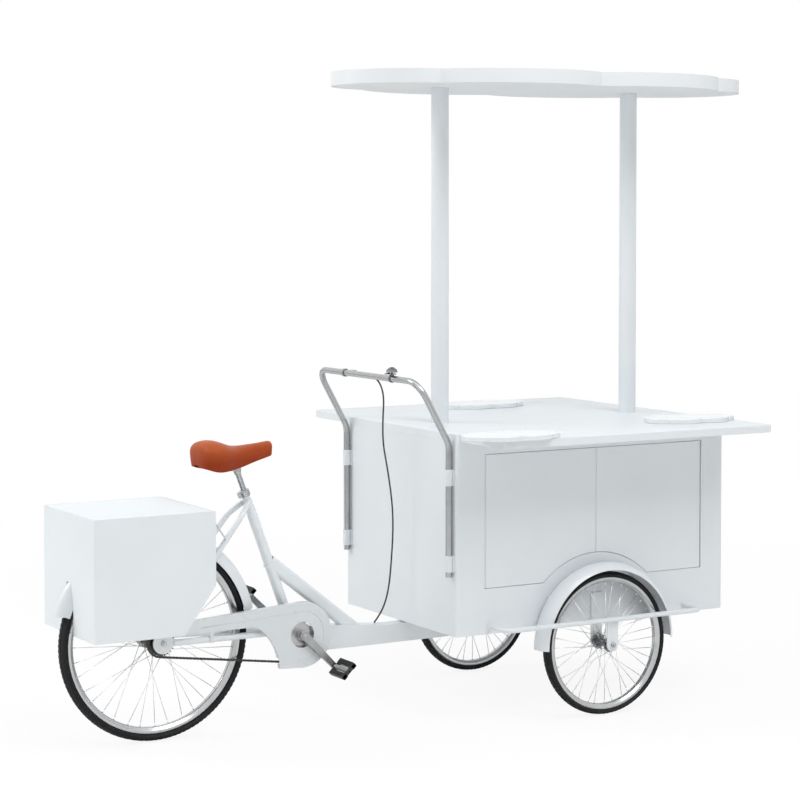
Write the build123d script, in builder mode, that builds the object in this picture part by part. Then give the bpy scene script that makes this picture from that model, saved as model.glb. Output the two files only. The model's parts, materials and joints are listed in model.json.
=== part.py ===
from build123d import *
from math import acos, atan2, ceil, cos, degrees, hypot, pi, radians, sin, sqrt, tan
import os

# Ice cream tricycle: a counter box between two front wheels, turned by the rider against a rear frame.
# Millimetres, +X forward, +Y to the rider's left, Z = 0 on the ground.
# The origin is on the ground under the middle of the overall length and width.

os.makedirs("parts", exist_ok=True)

# Fits
run_fit = 0.05      # radial play of a shaft that turns or slides
turn_gap = 0.5      # between faces that turn past each other
lie_gap = 0.2       # between round faces that lie on each other
seam = 1.5          # round doors and lid

# Stance
wheelbase = 1517.5
front_r = 250.0
rear_r = 336.0
bb_ahead = 517.5    # bottom bracket ahead of the rear axle
bb_z = 314.0

# Canopy outline: two end lobes and two larger middle lobes in a row
end_lobe_r = 277.0
end_lobe_x = 554.0
mid_lobe_r = 446.0
mid_lobe_x = 242.0
canopy_forward = 21.0
canopy_top = 2240.0
canopy_deep = 50.0
canopy_skin = 6.0
canopy_bottom = canopy_top - canopy_deep

# Rear fender, which reaches furthest back
rear_fender_r = 368.0
rear_fender_tail = 163.0
rear_fender_nose = 12.0
rear_fender_half = 33.0
rear_fender_drop = 41.0
rear_fender_flat = 15.0

front_reach = canopy_forward + end_lobe_x + end_lobe_r
rear_reach = wheelbase - rear_fender_r * cos(radians(rear_fender_tail))
front_x = (rear_reach - front_reach) / 2
rear_x = front_x - wheelbase
bb_x = rear_x + bb_ahead
canopy_x = front_x + canopy_forward

# Cart box and counter
box_ahead = 560.0        # front and rear walls, from the front axle
box_behind = 576.0
box_w = 763.0
box_z = 314.0
wall = 18.0
box_corner = 12.0
inner_corner = 3.0
box_side = box_w / 2
box_l = box_ahead + box_behind
box_back = front_x - box_behind
box_mid = front_x + (box_ahead - box_behind) / 2
wing_l = 1120.0          # counter's wings, centred on the front axle
counter_w = 1311.0
counter_t = 27.5
counter_top = 1005.0
counter_edge = 5.0
counter_z = counter_top - counter_t
shelf_z = 640.0
shelf_t = 15.0

# Doors in the right wall, arched over the front fender
door_half = 461.5
door_low = 470.0
door_high = 930.0
arch_r = 310.0
pin_r = 3.0
pin_reach = 15.0

# Canopy posts and their sockets
post_r = 31.5
post_wall = 3.0
post_apart = 818.0
socket_r = 36.0
socket_foot = 120.0
socket_floor = 6.0
socket_deep = 106.0

# Cloud boards on the counter: the canopy outline made smaller
board_l = 360.0
board_t = 16.0
rear_board_x = 492.0     # boards' middles, behind or ahead of the front axle and to the side
rear_board_y = 590.0
front_board_x = 388.0
front_board_y = 406.0
far_board_x = 50.0
far_board_y = 451.0

# Bent tubes are drawn with this many sides, the cable and small rods with fewer
tube_sides = 12
cord_sides = 8

# Handlebar on the box's rear wall
bar_r = 11.0
bar_wall = 2.0
bar_off = 14.0
bar_half = 356.0
bar_foot = 518.0
bar_knee = 970.0
bar_top = 1184.0
bar_sweep = 120.0
bar_knee_bend = 90.0
bar_top_bend = 65.0
clamp_r = 13.5
clamp_h = 56.0
clamp_low = 563.0
clamp_high = 856.0

# Front wheel carriers
tyre_half = 22.0
axle_r = 5.0
plate_w = 46.0
plate_t = 6.0
inner_plate_top = 420.0
front_hub_half = 45.0
front_y = box_side + plate_t + turn_gap + front_hub_half
outer_plate_y = front_y + front_hub_half + turn_gap
guard_r = 9.0
guard_y = outer_plate_y + plate_t + guard_r
guard_z = 341.0
guard_back = 445.0
guard_fore = 381.0
guard_bend = 38.0
front_fender_r = 280.0
front_fender_half = 43.0
front_fender_drop = 30.0
front_fender_flat = 19.0
fender_t = 2.5
nut_flat = 8.5      # half of the width across flats
nut_t = 9.0

# Steering pivot
kingpin_r = 15.0
turntable_w = 190.0
turntable_t = 6.0
sleeve_r = 32.0
beam_low = 242.0

# Rear frame
beam_half = 25.0
beam_wall = 3.0
beam_rear_top = 336.0
beam_bend = 640.0        # bend and cable stop, behind the front axle
cable_end = 678.0
stop_r = 7.0
stop_h = 2.0
seat_tube_r = 17.5
seat_tube_top_r = 14.0
seat_tube_l = 532.0
seat_tube_neck = 65.0    # taper below the seat clamp, and the straight end above it
seat_tube_cap = 27.0
seat_tube_back = 20.35   # degrees from the vertical
shell_r = 21.0
shell_half = 36.0
spindle_r = 8.5
stay_r = 11.0
seat_stay_r = 9.5
dropout_r = 36.0
dropout_t = 6.0
hanger_w = 36.0          # end plate's arm up to the rear box, and its tab to the chain stay
hanger_h = 102.0
dropout_tab_l = 48.0
dropout_tab_h = 20.0
dropout_y = 70.0
rear_hub_half = dropout_y - turn_gap
brace_back = 92.0        # brace ends, from the bottom bracket and above the ground
brace_high_z = 563.0
brace_ahead = 215.0
brace_low_z = 320.0
brace_w = 36.0
brace_h = 48.0
brace_wall = 2.5
brace_corner = 14.0
stay_start_x = 12.0      # chain stay's front end, behind the bottom bracket
stay_start_y = 28.0
stay_start_z = 322.0
stay_end_z = 334.0
stay_top_down = 35.0     # seat stay's top, from the top of the seat tube
stay_top_ahead = 4.8
stay_top_y = 12.0
stay_bend_back = 52.0    # seat stay's bend, from its top
stay_bend_down = 50.0
stay_bend_y = 50.0
stay_bend_r = 60.0
stay_foot_x = 8.0
stay_foot_z = 366.0

# Drive
pitch = 12.7
ring_teeth = 48
sprocket_teeth = 24
tooth_t = 2.6
chain_y = -56.0
link_h = 8.0
link_t = 1.0
inner_off = 2.2
outer_off = 3.3
ring_r = ring_teeth * pitch / (2 * pi)
sprocket_r = sprocket_teeth * pitch / (2 * pi)
crank_l = 165.0
crank_t = 14.0
crank_y = 78.0
crank_down = 45.0
pedal_spindle_r = 5.0
pedal_w = 95.0
pedal_l = 66.0
pedal_t = 22.0
pedal_tilt = 45.0

# Rear box over the wheel
rbox_behind = 300.5
rbox_ahead = 125.5
rbox_back = rear_x - rbox_behind
rbox_front = rear_x + rbox_ahead
rbox_half = 215.0
rbox_low = 383.0
rbox_top = 781.0
rbox_wall = 10.0
rbox_cut_x = 112.0
rbox_cut_z = 155.0
tunnel_half = 92.0
tunnel_top = 715.0
slot_gap = 3.0      # round the fender, in the rear wall
lid_step = 10.0     # depth of the ledge that the lid lies on
lid_gap = 0.5       # between lid and ledge
lid_t = lid_step - lid_gap
lid_rim = 5.0
lid_pin_r = 2.5
strut_r = 3.0
strut_down = 92.5      # strut's lower end, along the stay below its bend
strut_high_y = 200.0
strut_high_z = 745.0

# Seat
post_seat_r = 9.7
seat_post_in = 152.0
seat_post_out = 72.0
seat_post_low = seat_tube_l - seat_post_in
seat_post_high = seat_tube_l + seat_post_out
saddle_grip = 10.0       # saddle clamp's hold on the post
saddle_grip_r = 12.5

# Points along the seat tube's axis
seat_dir = (-sin(radians(seat_tube_back)), 0, cos(radians(seat_tube_back)))
seat_plane = Plane(origin=(bb_x, 0, bb_z), x_dir=(0, 1, 0), z_dir=seat_dir)


# Cart box: four walls with the arched door opening in the right one
right_wall = Plane(origin=(front_x, -box_side, 0), x_dir=(1, 0, 0), z_dir=(0, -1, 0))
pivot_x = door_half - seam - wall / 2
with BuildPart() as cart_box:
    with BuildSketch(Plane.XY.offset(box_z)):
        with Locations((box_mid, 0)):
            RectangleRounded(box_l, box_w, box_corner)
            RectangleRounded(box_l - 2 * wall, box_w - 2 * wall, inner_corner, mode=Mode.SUBTRACT)
    extrude(amount=counter_z - box_z)
    with BuildSketch(right_wall):
        with Locations((0, (door_low + door_high) / 2)):
            Rectangle(2 * door_half, door_high - door_low)
        with Locations((0, front_r)):
            Circle(arch_r, mode=Mode.SUBTRACT)
    extrude(amount=-wall, mode=Mode.SUBTRACT)
    with Locations(
        (front_x - pivot_x, -box_side + wall / 2, door_low),
        (front_x + pivot_x, -box_side + wall / 2, door_low),
    ):
        Cylinder(pin_r + run_fit, 2 * pin_reach, mode=Mode.SUBTRACT)
    with Locations(
        (front_x - pivot_x, -box_side + wall / 2, door_high),
        (front_x + pivot_x, -box_side + wall / 2, door_high),
    ):
        Cylinder(pin_r + run_fit, 2 * pin_reach, mode=Mode.SUBTRACT)
cart_box.part.label = "cart_box"
export_step(cart_box.part, "parts/cart_box.step")

# Doors: each leaf turns on two pins in its rounded outer edge
for door_name, hand in (("door_rear", -1), ("door_front", 1)):
    edge_x = hand * (door_half - seam)
    with BuildPart() as door:
        with BuildSketch(right_wall):
            with Locations(((edge_x + hand * seam / 2) / 2, (door_low + door_high) / 2)):
                Rectangle(abs(edge_x) - seam / 2, door_high - door_low - 2 * seam)
            with Locations((0, front_r)):
                Circle(arch_r + seam, mode=Mode.SUBTRACT)
        extrude(amount=-wall)
        hinge_edges = door.edges().filter_by(Axis.Z).group_by(Axis.X)[-1 if hand > 0 else 0]
        fillet(hinge_edges, wall / 2 - 0.1)
        with Locations(
            (front_x + hand * pivot_x, -box_side + wall / 2, door_low + seam),
            (front_x + hand * pivot_x, -box_side + wall / 2, door_high - seam),
        ):
            Cylinder(pin_r + run_fit, 2 * pin_reach, mode=Mode.SUBTRACT)
    door.part.label = door_name
    export_step(door.part, f"parts/{door_name}.step")

with BuildPart() as door_pins:
    for pin_middle in (door_low, door_high):
        with BuildSketch(Plane.XY.offset(pin_middle - pin_reach + 1)):
            pivot_y = -box_side + wall / 2
            with Locations((front_x - pivot_x, pivot_y), (front_x + pivot_x, pivot_y)):
                RegularPolygon(pin_r, 8)
        extrude(amount=2 * pin_reach - 2)
door_pins.part.label = "door_pins"
export_step(door_pins.part, "parts/door_pins.step")

# Floor and shelf inside the box
with BuildPart() as cart_floor:
    with BuildSketch(Plane.XY.offset(box_z)):
        with Locations((box_mid, 0)):
            RectangleRounded(box_l - 2 * wall, box_w - 2 * wall, inner_corner)
        with Locations((front_x, 0)):
            Circle(kingpin_r + run_fit, mode=Mode.SUBTRACT)
    extrude(amount=wall)
cart_floor.part.label = "cart_floor"
export_step(cart_floor.part, "parts/cart_floor.step")

with BuildPart() as cart_shelf:
    with BuildSketch(Plane.XY.offset(shelf_z)):
        with Locations((box_mid, turn_gap / 2)):
            RectangleRounded(box_l - 2 * wall, box_w - 2 * wall - turn_gap, inner_corner)
    extrude(amount=shelf_t)
cart_shelf.part.label = "cart_shelf"
export_step(cart_shelf.part, "parts/cart_shelf.step")

# Counter top: the box's outline and a wing on each side, with the holes that the posts pass through
post_points = [(front_x - post_apart / 2, 0), (front_x + post_apart / 2, 0)]
with BuildPart() as counter:
    with BuildSketch(Plane.XY.offset(counter_z)):
        with Locations((box_mid, 0)):
            RectangleRounded(box_l, box_w, box_corner)
        with Locations((front_x, 0)):
            RectangleRounded(wing_l, counter_w, 2 * counter_edge)
        with Locations(*post_points):
            Circle(post_r + lie_gap, mode=Mode.SUBTRACT)
    extrude(amount=counter_t)
    chamfer(counter.faces().sort_by(Axis.Z)[-1].outer_wire().edges(), counter_edge / 2)
counter.part.label = "counter_top"
export_step(counter.part, "parts/counter_top.step")

# Three cloud boards lying on the counter
board_scale = board_l / (2 * (end_lobe_x + end_lobe_r))
board_spots = (
    (front_x - rear_board_x, -rear_board_y, -4),
    (front_x + front_board_x, -front_board_y, -3),
    (front_x + far_board_x, far_board_y, 0),
)
with BuildPart() as boards:
    for board_x, board_y, board_turn in board_spots:
        board_axis = (cos(radians(board_turn)), sin(radians(board_turn)), 0)
        with BuildSketch(Plane(origin=(board_x, board_y, counter_top), x_dir=board_axis, z_dir=(0, 0, 1))):
            with Locations((-end_lobe_x * board_scale, 0), (end_lobe_x * board_scale, 0)):
                Circle(end_lobe_r * board_scale)
            with Locations((-mid_lobe_x * board_scale, 0), (mid_lobe_x * board_scale, 0)):
                Circle(mid_lobe_r * board_scale)
        extrude(amount=board_t)
boards.part.label = "cloud_boards"
export_step(boards.part, "parts/cloud_boards.step")

# Canopy: a cloud-shaped tray upside down, closed below by a panel
with BuildPart() as canopy:
    with BuildSketch(Plane.XY.offset(canopy_bottom)):
        with Locations((canopy_x - end_lobe_x, 0), (canopy_x + end_lobe_x, 0)):
            Circle(end_lobe_r)
        with Locations((canopy_x - mid_lobe_x, 0), (canopy_x + mid_lobe_x, 0)):
            Circle(mid_lobe_r)
    extrude(amount=canopy_deep)
    with BuildSketch(Plane.XY.offset(canopy_bottom)):
        with Locations((canopy_x - end_lobe_x, 0), (canopy_x + end_lobe_x, 0)):
            Circle(end_lobe_r - canopy_skin)
        with Locations((canopy_x - mid_lobe_x, 0), (canopy_x + mid_lobe_x, 0)):
            Circle(mid_lobe_r - canopy_skin)
    extrude(amount=canopy_deep - canopy_skin, mode=Mode.SUBTRACT)
canopy.part.label = "canopy"
export_step(canopy.part, "parts/canopy.step")

with BuildPart() as canopy_panel:
    with BuildSketch(Plane.XY.offset(canopy_bottom)):
        with Locations((canopy_x - end_lobe_x, 0), (canopy_x + end_lobe_x, 0)):
            Circle(end_lobe_r - canopy_skin - lie_gap)
        with Locations((canopy_x - mid_lobe_x, 0), (canopy_x + mid_lobe_x, 0)):
            Circle(mid_lobe_r - canopy_skin - lie_gap)
        with Locations(*post_points):
            Circle(post_r + lie_gap, mode=Mode.SUBTRACT)
    extrude(amount=canopy_skin)
canopy_panel.part.label = "canopy_panel"
export_step(canopy_panel.part, "parts/canopy_panel.step")

# Posts stand in sockets below the counter and end under the canopy's skin
post_low = counter_z - socket_deep + socket_floor
post_high = canopy_top - canopy_skin
with BuildPart() as posts:
    with BuildSketch(Plane.XY.offset(post_low)):
        with Locations(*post_points):
            Circle(post_r)
            Circle(post_r - post_wall, mode=Mode.SUBTRACT)
    extrude(amount=post_high - post_low)
posts.part.label = "canopy_posts"
export_step(posts.part, "parts/canopy_posts.step")

with BuildPart() as sockets:
    with BuildSketch(Plane.XY.offset(counter_z)):
        with Locations(*post_points):
            Rectangle(socket_foot, socket_foot)
    extrude(amount=-socket_floor)
    with BuildSketch(Plane.XY.offset(counter_z)):
        with Locations(*post_points):
            Circle(socket_r)
    extrude(amount=-socket_deep)
    with BuildSketch(Plane.XY.offset(counter_z)):
        with Locations(*post_points):
            Circle(post_r + lie_gap)
    extrude(amount=post_low - counter_z, mode=Mode.SUBTRACT)
sockets.part.label = "post_sockets"
export_step(sockets.part, "parts/post_sockets.step")

# Handlebar: one tube bent to a wide arch, leaning back to the rider
bar_x = box_back - bar_off
grip_x = bar_x - bar_sweep
with BuildPart() as handlebar:
    with BuildLine():
        FilletPolyline(
            (bar_x, -bar_half, bar_foot),
            (bar_x, -bar_half, bar_knee),
            (grip_x, -bar_half, bar_top),
            (grip_x, bar_half, bar_top),
            (bar_x, bar_half, bar_knee),
            (bar_x, bar_half, bar_foot),
            radius=[bar_knee_bend, bar_top_bend, bar_top_bend, bar_knee_bend],
        )
    with BuildSketch(Plane(origin=(bar_x, -bar_half, bar_foot), z_dir=(0, 0, 1))):
        RegularPolygon(bar_r, tube_sides)
        RegularPolygon(bar_r - bar_wall, tube_sides, mode=Mode.SUBTRACT)
    sweep()
handlebar.part.label = "handlebar"
export_step(handlebar.part, "parts/handlebar.step")

# Clamps: a sleeve round each leg, a web and a foot on the box wall
with BuildPart() as bar_clamps:
    for leg_y in (-bar_half, bar_half):
        for clamp_z in (clamp_low, clamp_high):
            with BuildSketch(Plane.XY.offset(clamp_z - clamp_h / 2)):
                with Locations((bar_x, leg_y)):
                    RegularPolygon(clamp_r, tube_sides)
            extrude(amount=clamp_h)
        with Locations((bar_x, leg_y, clamp_low), (bar_x, leg_y, clamp_high)):
            Box(bar_off, 10, clamp_h, align=(Align.MIN, Align.CENTER, Align.CENTER))
        with Locations((box_back, leg_y, clamp_low), (box_back, leg_y, clamp_high)):
            Box(4, 2 * clamp_r + 4, clamp_h, align=(Align.MAX, Align.CENTER, Align.CENTER))
        with Locations((bar_x, leg_y, clamp_low), (bar_x, leg_y, clamp_high)):
            Cylinder(bar_r + lie_gap, clamp_h, mode=Mode.SUBTRACT)
bar_clamps.part.label = "handlebar_clamps"
export_step(bar_clamps.part, "parts/handlebar_clamps.step")

# Brake perch on the left of the crossbar: a ring, two cheeks, the pin between them and a cable stop
perch_y = 150.0
perch_w = 12.0
perch_stop = 15.0       # cable stop's end, from the perch's middle
lever_off = 30.0
lever_boss = 7.0
lever_x = grip_x + lever_off
stop_from = lever_boss + 1
cheek_in = 5.4
cheek_t = 3.0
with BuildPart() as perch:
    with Locations((grip_x, perch_y, bar_top)):
        Cylinder(bar_r + 3.5, perch_w, rotation=(90, 0, 0))
    for cheek_z in (bar_top + cheek_in, bar_top - cheek_in - cheek_t):
        with Locations((grip_x + 9, perch_y, cheek_z)):
            Box(29, 2 * stop_from, cheek_t, align=(Align.MIN, Align.CENTER, Align.MIN))
    with Locations((grip_x + 14, perch_y - stop_from, bar_top)):
        Box(
            24,
            perch_stop - stop_from,
            2 * (cheek_in + cheek_t),
            align=(Align.MIN, Align.MAX, Align.CENTER),
        )
    with Locations((lever_x, perch_y, bar_top)):
        Cylinder(pin_r, 2 * cheek_in)
    with Locations((grip_x, perch_y, bar_top)):
        Cylinder(bar_r + lie_gap, 60, rotation=(90, 0, 0), mode=Mode.SUBTRACT)
perch.part.label = "brake_perch"
export_step(perch.part, "parts/brake_perch.step")

lever_t = 10.0
lever_reach = 118.0
with BuildPart() as brake_lever:
    with BuildSketch(Plane.XY.offset(bar_top - lever_t / 2)):
        with Locations((lever_x, perch_y)):
            Circle(lever_boss)
        with BuildLine():
            Polyline(
                (lever_x - 4, perch_y),
                (lever_x + 6, perch_y + lever_reach),
                (lever_x + 13, perch_y + lever_reach),
                (lever_x + 7, perch_y),
                close=True,
            )
        make_face()
        with Locations((lever_x, perch_y)):
            Circle(pin_r + run_fit, mode=Mode.SUBTRACT)
    extrude(amount=lever_t)
brake_lever.part.label = "brake_lever"
export_step(brake_lever.part, "parts/brake_lever.step")

# Bell on the right of the crossbar
bell_y = -180.0
bell_base = bar_top + bar_r + 4
bell_base_t = 3.0
bell_rim = bell_base + 7
bell_r = 20.0
bell_h = 18.0
bell_t = 2.0
bell_pin_x = 13.0
bell_pin_r = 2.0
with BuildPart() as bell_clamp:
    with Locations((grip_x, bell_y, bar_top)):
        Cylinder(bar_r + 2.5, 10, rotation=(90, 0, 0))
    with Locations((grip_x, bell_y, bar_top + bar_r)):
        Box(10, 10, bell_base + bell_base_t - bar_top - bar_r, align=(Align.CENTER, Align.CENTER, Align.MIN))
    with BuildSketch(Plane.XY.offset(bell_base)):
        with Locations((grip_x, bell_y)):
            RegularPolygon(bell_r - 4, tube_sides)
    extrude(amount=bell_base_t)
    with BuildSketch(Plane.XY.offset(bell_base)):
        with Locations((grip_x, bell_y)):
            RegularPolygon(4, cord_sides)
    extrude(amount=bell_rim + bell_h - bell_t - bell_base)
    with BuildSketch(Plane.XY.offset(bell_base)):
        with Locations((grip_x - bell_pin_x, bell_y)):
            RegularPolygon(bell_pin_r, cord_sides)
    extrude(amount=10)
    with Locations((grip_x, bell_y, bar_top)):
        Cylinder(bar_r + lie_gap, 40, rotation=(90, 0, 0), mode=Mode.SUBTRACT)
bell_clamp.part.label = "bell_clamp"
export_step(bell_clamp.part, "parts/bell_clamp.step")

bell_plane = Plane(origin=(grip_x, bell_y, bell_rim), x_dir=(1, 0, 0), z_dir=(0, -1, 0))
bell_low_h = 0.55 * bell_h
with BuildPart() as bell_dome:
    with BuildSketch(Plane.XY.offset(bell_rim)):
        with Locations((grip_x, bell_y)):
            RegularPolygon(bell_r, tube_sides)
    extrude(amount=bell_low_h, taper=14)
    with BuildSketch(bell_dome.faces().sort_by(Axis.Z)[-1]):
        RegularPolygon(bell_r - bell_low_h * tan(radians(14)), tube_sides)
    extrude(amount=bell_h - bell_low_h, taper=54)
    with BuildSketch(Plane.XY.offset(bell_rim)):
        with Locations((grip_x, bell_y)):
            RegularPolygon(bell_r - bell_t, tube_sides)
    extrude(amount=bell_h - bell_t, taper=32, mode=Mode.SUBTRACT)
bell_dome.part.label = "bell_dome"
export_step(bell_dome.part, "parts/bell_dome.step")

with BuildPart() as bell_lever:
    with BuildSketch(Plane.XY.offset(bell_base + bell_base_t + lie_gap)):
        with Locations((grip_x - bell_pin_x, bell_y)):
            RegularPolygon(5, cord_sides)
        with Locations((grip_x - bell_pin_x - 12, bell_y - 12)):
            Rectangle(34, 6, rotation=45)
        with Locations((grip_x - bell_pin_x - 22, bell_y - 22)):
            RegularPolygon(6, cord_sides)
        with Locations((grip_x - bell_pin_x, bell_y)):
            Circle(bell_pin_r + run_fit, mode=Mode.SUBTRACT)
    extrude(amount=bell_base_t)
bell_lever.part.label = "bell_lever"
export_step(bell_lever.part, "parts/bell_lever.step")

# Guard bars round the outside of the front wheels
with BuildPart() as guard_bars:
    with BuildLine():
        FilletPolyline(
            (front_x - guard_back, -box_side, guard_z),
            (front_x - guard_back, -guard_y, guard_z),
            (front_x + guard_fore, -guard_y, guard_z),
            (front_x + guard_fore, -box_side, guard_z),
            radius=guard_bend,
        )
    with BuildSketch(Plane(origin=(front_x - guard_back, -box_side, guard_z), z_dir=(0, -1, 0))):
        RegularPolygon(guard_r, tube_sides)
    sweep()
    mirror(about=Plane.XZ)
guard_bars.part.label = "guard_bars"
export_step(guard_bars.part, "parts/guard_bars.step")

# Fork plates: one on the box wall and one hanging from the guard bar at each wheel
with BuildPart() as fork_plates:
    for plate_y, plate_top in ((box_side, inner_plate_top), (outer_plate_y, guard_z + guard_r)):
        with BuildSketch(Plane(origin=(front_x, -plate_y, front_r), x_dir=(1, 0, 0), z_dir=(0, -1, 0))):
            Circle(plate_w / 2)
            with Locations((0, (plate_top - front_r) / 2)):
                Rectangle(plate_w, plate_top - front_r)
            Circle(axle_r + run_fit, mode=Mode.SUBTRACT)
        extrude(amount=plate_t)
    mirror(about=Plane.XZ)
fork_plates.part.label = "fork_plates"
export_step(fork_plates.part, "parts/fork_plates.step")

with BuildPart() as front_axles:
    with BuildSketch(Plane(origin=(front_x, -box_side, front_r), z_dir=(0, -1, 0))):
        Circle(axle_r)
    extrude(amount=guard_y + 6 - box_side)
    with BuildSketch(Plane(origin=(front_x, -outer_plate_y - plate_t, front_r), z_dir=(0, -1, 0))):
        RegularPolygon(nut_flat, 6, major_radius=False)
    extrude(amount=nut_t)
    mirror(about=Plane.XZ)
front_axles.part.label = "front_axles"
export_step(front_axles.part, "parts/front_axles.step")

# Front fenders: a rounded channel over the upper half of each wheel, held by tabs on the box wall
front_low_r = front_fender_r - front_fender_drop
with BuildPart() as front_fenders:
    with BuildSketch(Plane(origin=(front_x, -front_y, front_r), x_dir=(1, 0, 0), z_dir=(0, 0, 1))):
        with BuildLine():
            Polyline(
                (front_low_r, front_fender_half),
                (front_fender_r, front_fender_flat),
                (front_fender_r, -front_fender_flat),
                (front_low_r, -front_fender_half),
                (front_low_r, -front_fender_half + fender_t),
                (front_fender_r - fender_t, -front_fender_flat + fender_t / 2),
                (front_fender_r - fender_t, front_fender_flat - fender_t / 2),
                (front_low_r, front_fender_half - fender_t),
                close=True,
            )
        make_face()
    revolve(axis=Axis((front_x, -front_y, front_r), (0, -1, 0)), revolution_arc=180)
    tab_reach = front_y - front_fender_half + 8 - box_side
    for tab_turn in (40, 140):
        tab_x = front_x + (front_low_r + 6) * cos(radians(tab_turn))
        tab_z = front_r + (front_low_r + 6) * sin(radians(tab_turn))
        with Locations((tab_x, -box_side, tab_z)):
            Box(18, tab_reach, 18, align=(Align.CENTER, Align.MAX, Align.CENTER))
    mirror(about=Plane.XZ)
front_fenders.part.label = "front_fenders"
export_step(front_fenders.part, "parts/front_fenders.step")

# Steering pivot under the box
with BuildPart() as turntable:
    with BuildSketch(Plane.XY.offset(box_z)):
        with Locations((front_x, 0)):
            RectangleRounded(turntable_w, turntable_w, turntable_w / 8)
            Circle(kingpin_r + run_fit, mode=Mode.SUBTRACT)
    extrude(amount=-turntable_t)
turntable.part.label = "turntable_plate"
export_step(turntable.part, "parts/turntable_plate.step")

sleeve_top = box_z - turntable_t - turn_gap
sleeve_low = beam_low - 6
with BuildPart() as kingpin:
    with BuildSketch(Plane.XY.offset(sleeve_low - turn_gap)):
        with Locations((front_x, 0)):
            Circle(kingpin_r)
    extrude(amount=box_z + wall + 24 - sleeve_low + turn_gap)
    with BuildSketch(Plane.XY.offset(sleeve_low - turn_gap)):
        with Locations((front_x, 0)):
            RegularPolygon(sleeve_r - 6, 6, major_radius=False)
    extrude(amount=-10)
    with BuildSketch(Plane.XY.offset(box_z + wall)):
        with Locations((front_x, 0)):
            RegularPolygon(1.6 * kingpin_r, 6, major_radius=False)
    extrude(amount=18)
kingpin.part.label = "kingpin"
export_step(kingpin.part, "parts/kingpin.step")

# Seat tube with the bottom bracket shell across its foot
seat_tube_straight = seat_tube_l - seat_tube_cap - seat_tube_neck
with BuildPart() as seat_tube:
    with Locations(seat_plane):
        Cylinder(seat_tube_r, seat_tube_straight, align=(Align.CENTER, Align.CENTER, Align.MIN))
    with Locations(seat_plane.offset(seat_tube_straight)):
        Cone(seat_tube_r, seat_tube_top_r, seat_tube_neck, align=(Align.CENTER, Align.CENTER, Align.MIN))
    with Locations(seat_plane.offset(seat_tube_l - seat_tube_cap)):
        Cylinder(seat_tube_top_r, seat_tube_cap, align=(Align.CENTER, Align.CENTER, Align.MIN))
    with Locations((bb_x, 0, bb_z)):
        Cylinder(shell_r, 2 * shell_half, rotation=(90, 0, 0))
    with Locations(seat_plane.offset(shell_r + 10)):
        Cylinder(
            post_seat_r + run_fit,
            seat_tube_l,
            align=(Align.CENTER, Align.CENTER, Align.MIN),
            mode=Mode.SUBTRACT,
        )
    with Locations((bb_x, 0, bb_z)):
        Cylinder(spindle_r + run_fit, 3 * shell_half, rotation=(90, 0, 0), mode=Mode.SUBTRACT)
seat_tube.part.label = "seat_tube"
export_step(seat_tube.part, "parts/seat_tube.step")

# Main beam from the bottom bracket to the steering sleeve, tapered, hollow
beam_top_z = sleeve_top
beam_bend_x = front_x - beam_bend
cable_end_x = front_x - cable_end
with BuildPart() as beam_blank:
    with BuildSketch(Plane.XZ):
        with BuildLine():
            Polyline(
                (bb_x, beam_rear_top),
                (beam_bend_x, beam_top_z),
                (front_x, beam_top_z),
                (front_x, beam_low),
                (bb_x, beam_low),
                close=True,
            )
        make_face()
    extrude(amount=beam_half, both=True)

beam_slope = (beam_rear_top - beam_top_z) / (beam_bend_x - bb_x)
boss_low = beam_top_z + beam_slope * (beam_bend_x - cable_end_x)
with BuildPart() as main_beam:
    add(beam_blank.part)
    with BuildSketch(Plane.XZ):
        with BuildLine():
            Polyline(
                (bb_x - 1, beam_rear_top - beam_wall),
                (beam_bend_x, beam_top_z - beam_wall),
                (front_x, beam_top_z - beam_wall),
                (front_x, beam_low + beam_wall),
                (bb_x - 1, beam_low + beam_wall),
                close=True,
            )
        make_face()
    extrude(amount=beam_half - beam_wall, both=True, mode=Mode.SUBTRACT)
    with Locations((front_x, 0, sleeve_low)):
        Cylinder(sleeve_r, sleeve_top - sleeve_low, align=(Align.CENTER, Align.CENTER, Align.MIN))
    with Locations((cable_end_x, 0, boss_low - stop_h)):
        Cylinder(stop_r, 2 * stop_h, align=(Align.CENTER, Align.CENTER, Align.MIN))
    with Locations((front_x, 0, sleeve_low)):
        Cylinder(kingpin_r + run_fit, 300, mode=Mode.SUBTRACT)
    with Locations((bb_x, 0, bb_z)):
        Cylinder(shell_r, 4 * shell_half, rotation=(90, 0, 0), mode=Mode.SUBTRACT)
    with Locations(seat_plane):
        Cylinder(seat_tube_r, 200, align=(Align.CENTER, Align.CENTER, Align.MIN), mode=Mode.SUBTRACT)
main_beam.part.label = "main_beam"
export_step(main_beam.part, "parts/main_beam.step")

# Brace from the seat tube down to the beam
brace_high = Vector(bb_x - brace_back, 0, brace_high_z)
brace_low = Vector(bb_x + brace_ahead, 0, brace_low_z)
brace_dir = brace_low - brace_high
brace_plane = Plane(origin=brace_high, x_dir=(0, 1, 0), z_dir=brace_dir)
with BuildPart() as brace:
    with BuildSketch(brace_plane):
        RectangleRounded(brace_w, brace_h, brace_corner)
        RectangleRounded(
            brace_w - 2 * brace_wall,
            brace_h - 2 * brace_wall,
            brace_corner - brace_wall,
            mode=Mode.SUBTRACT,
        )
    extrude(amount=brace_dir.length + brace_w)
    with Locations(seat_plane):
        Cylinder(
            seat_tube_r,
            seat_tube_straight,
            align=(Align.CENTER, Align.CENTER, Align.MIN),
            mode=Mode.SUBTRACT,
        )
    add(beam_blank.part, mode=Mode.SUBTRACT)
    with Locations((bb_x + brace_ahead, 0, beam_low)):
        Box(
            wheelbase,
            box_w,
            2 * beam_low,
            align=(Align.CENTER, Align.CENTER, Align.MAX),
            mode=Mode.SUBTRACT,
        )
brace.part.label = "frame_brace"
export_step(brace.part, "parts/frame_brace.step")

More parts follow.
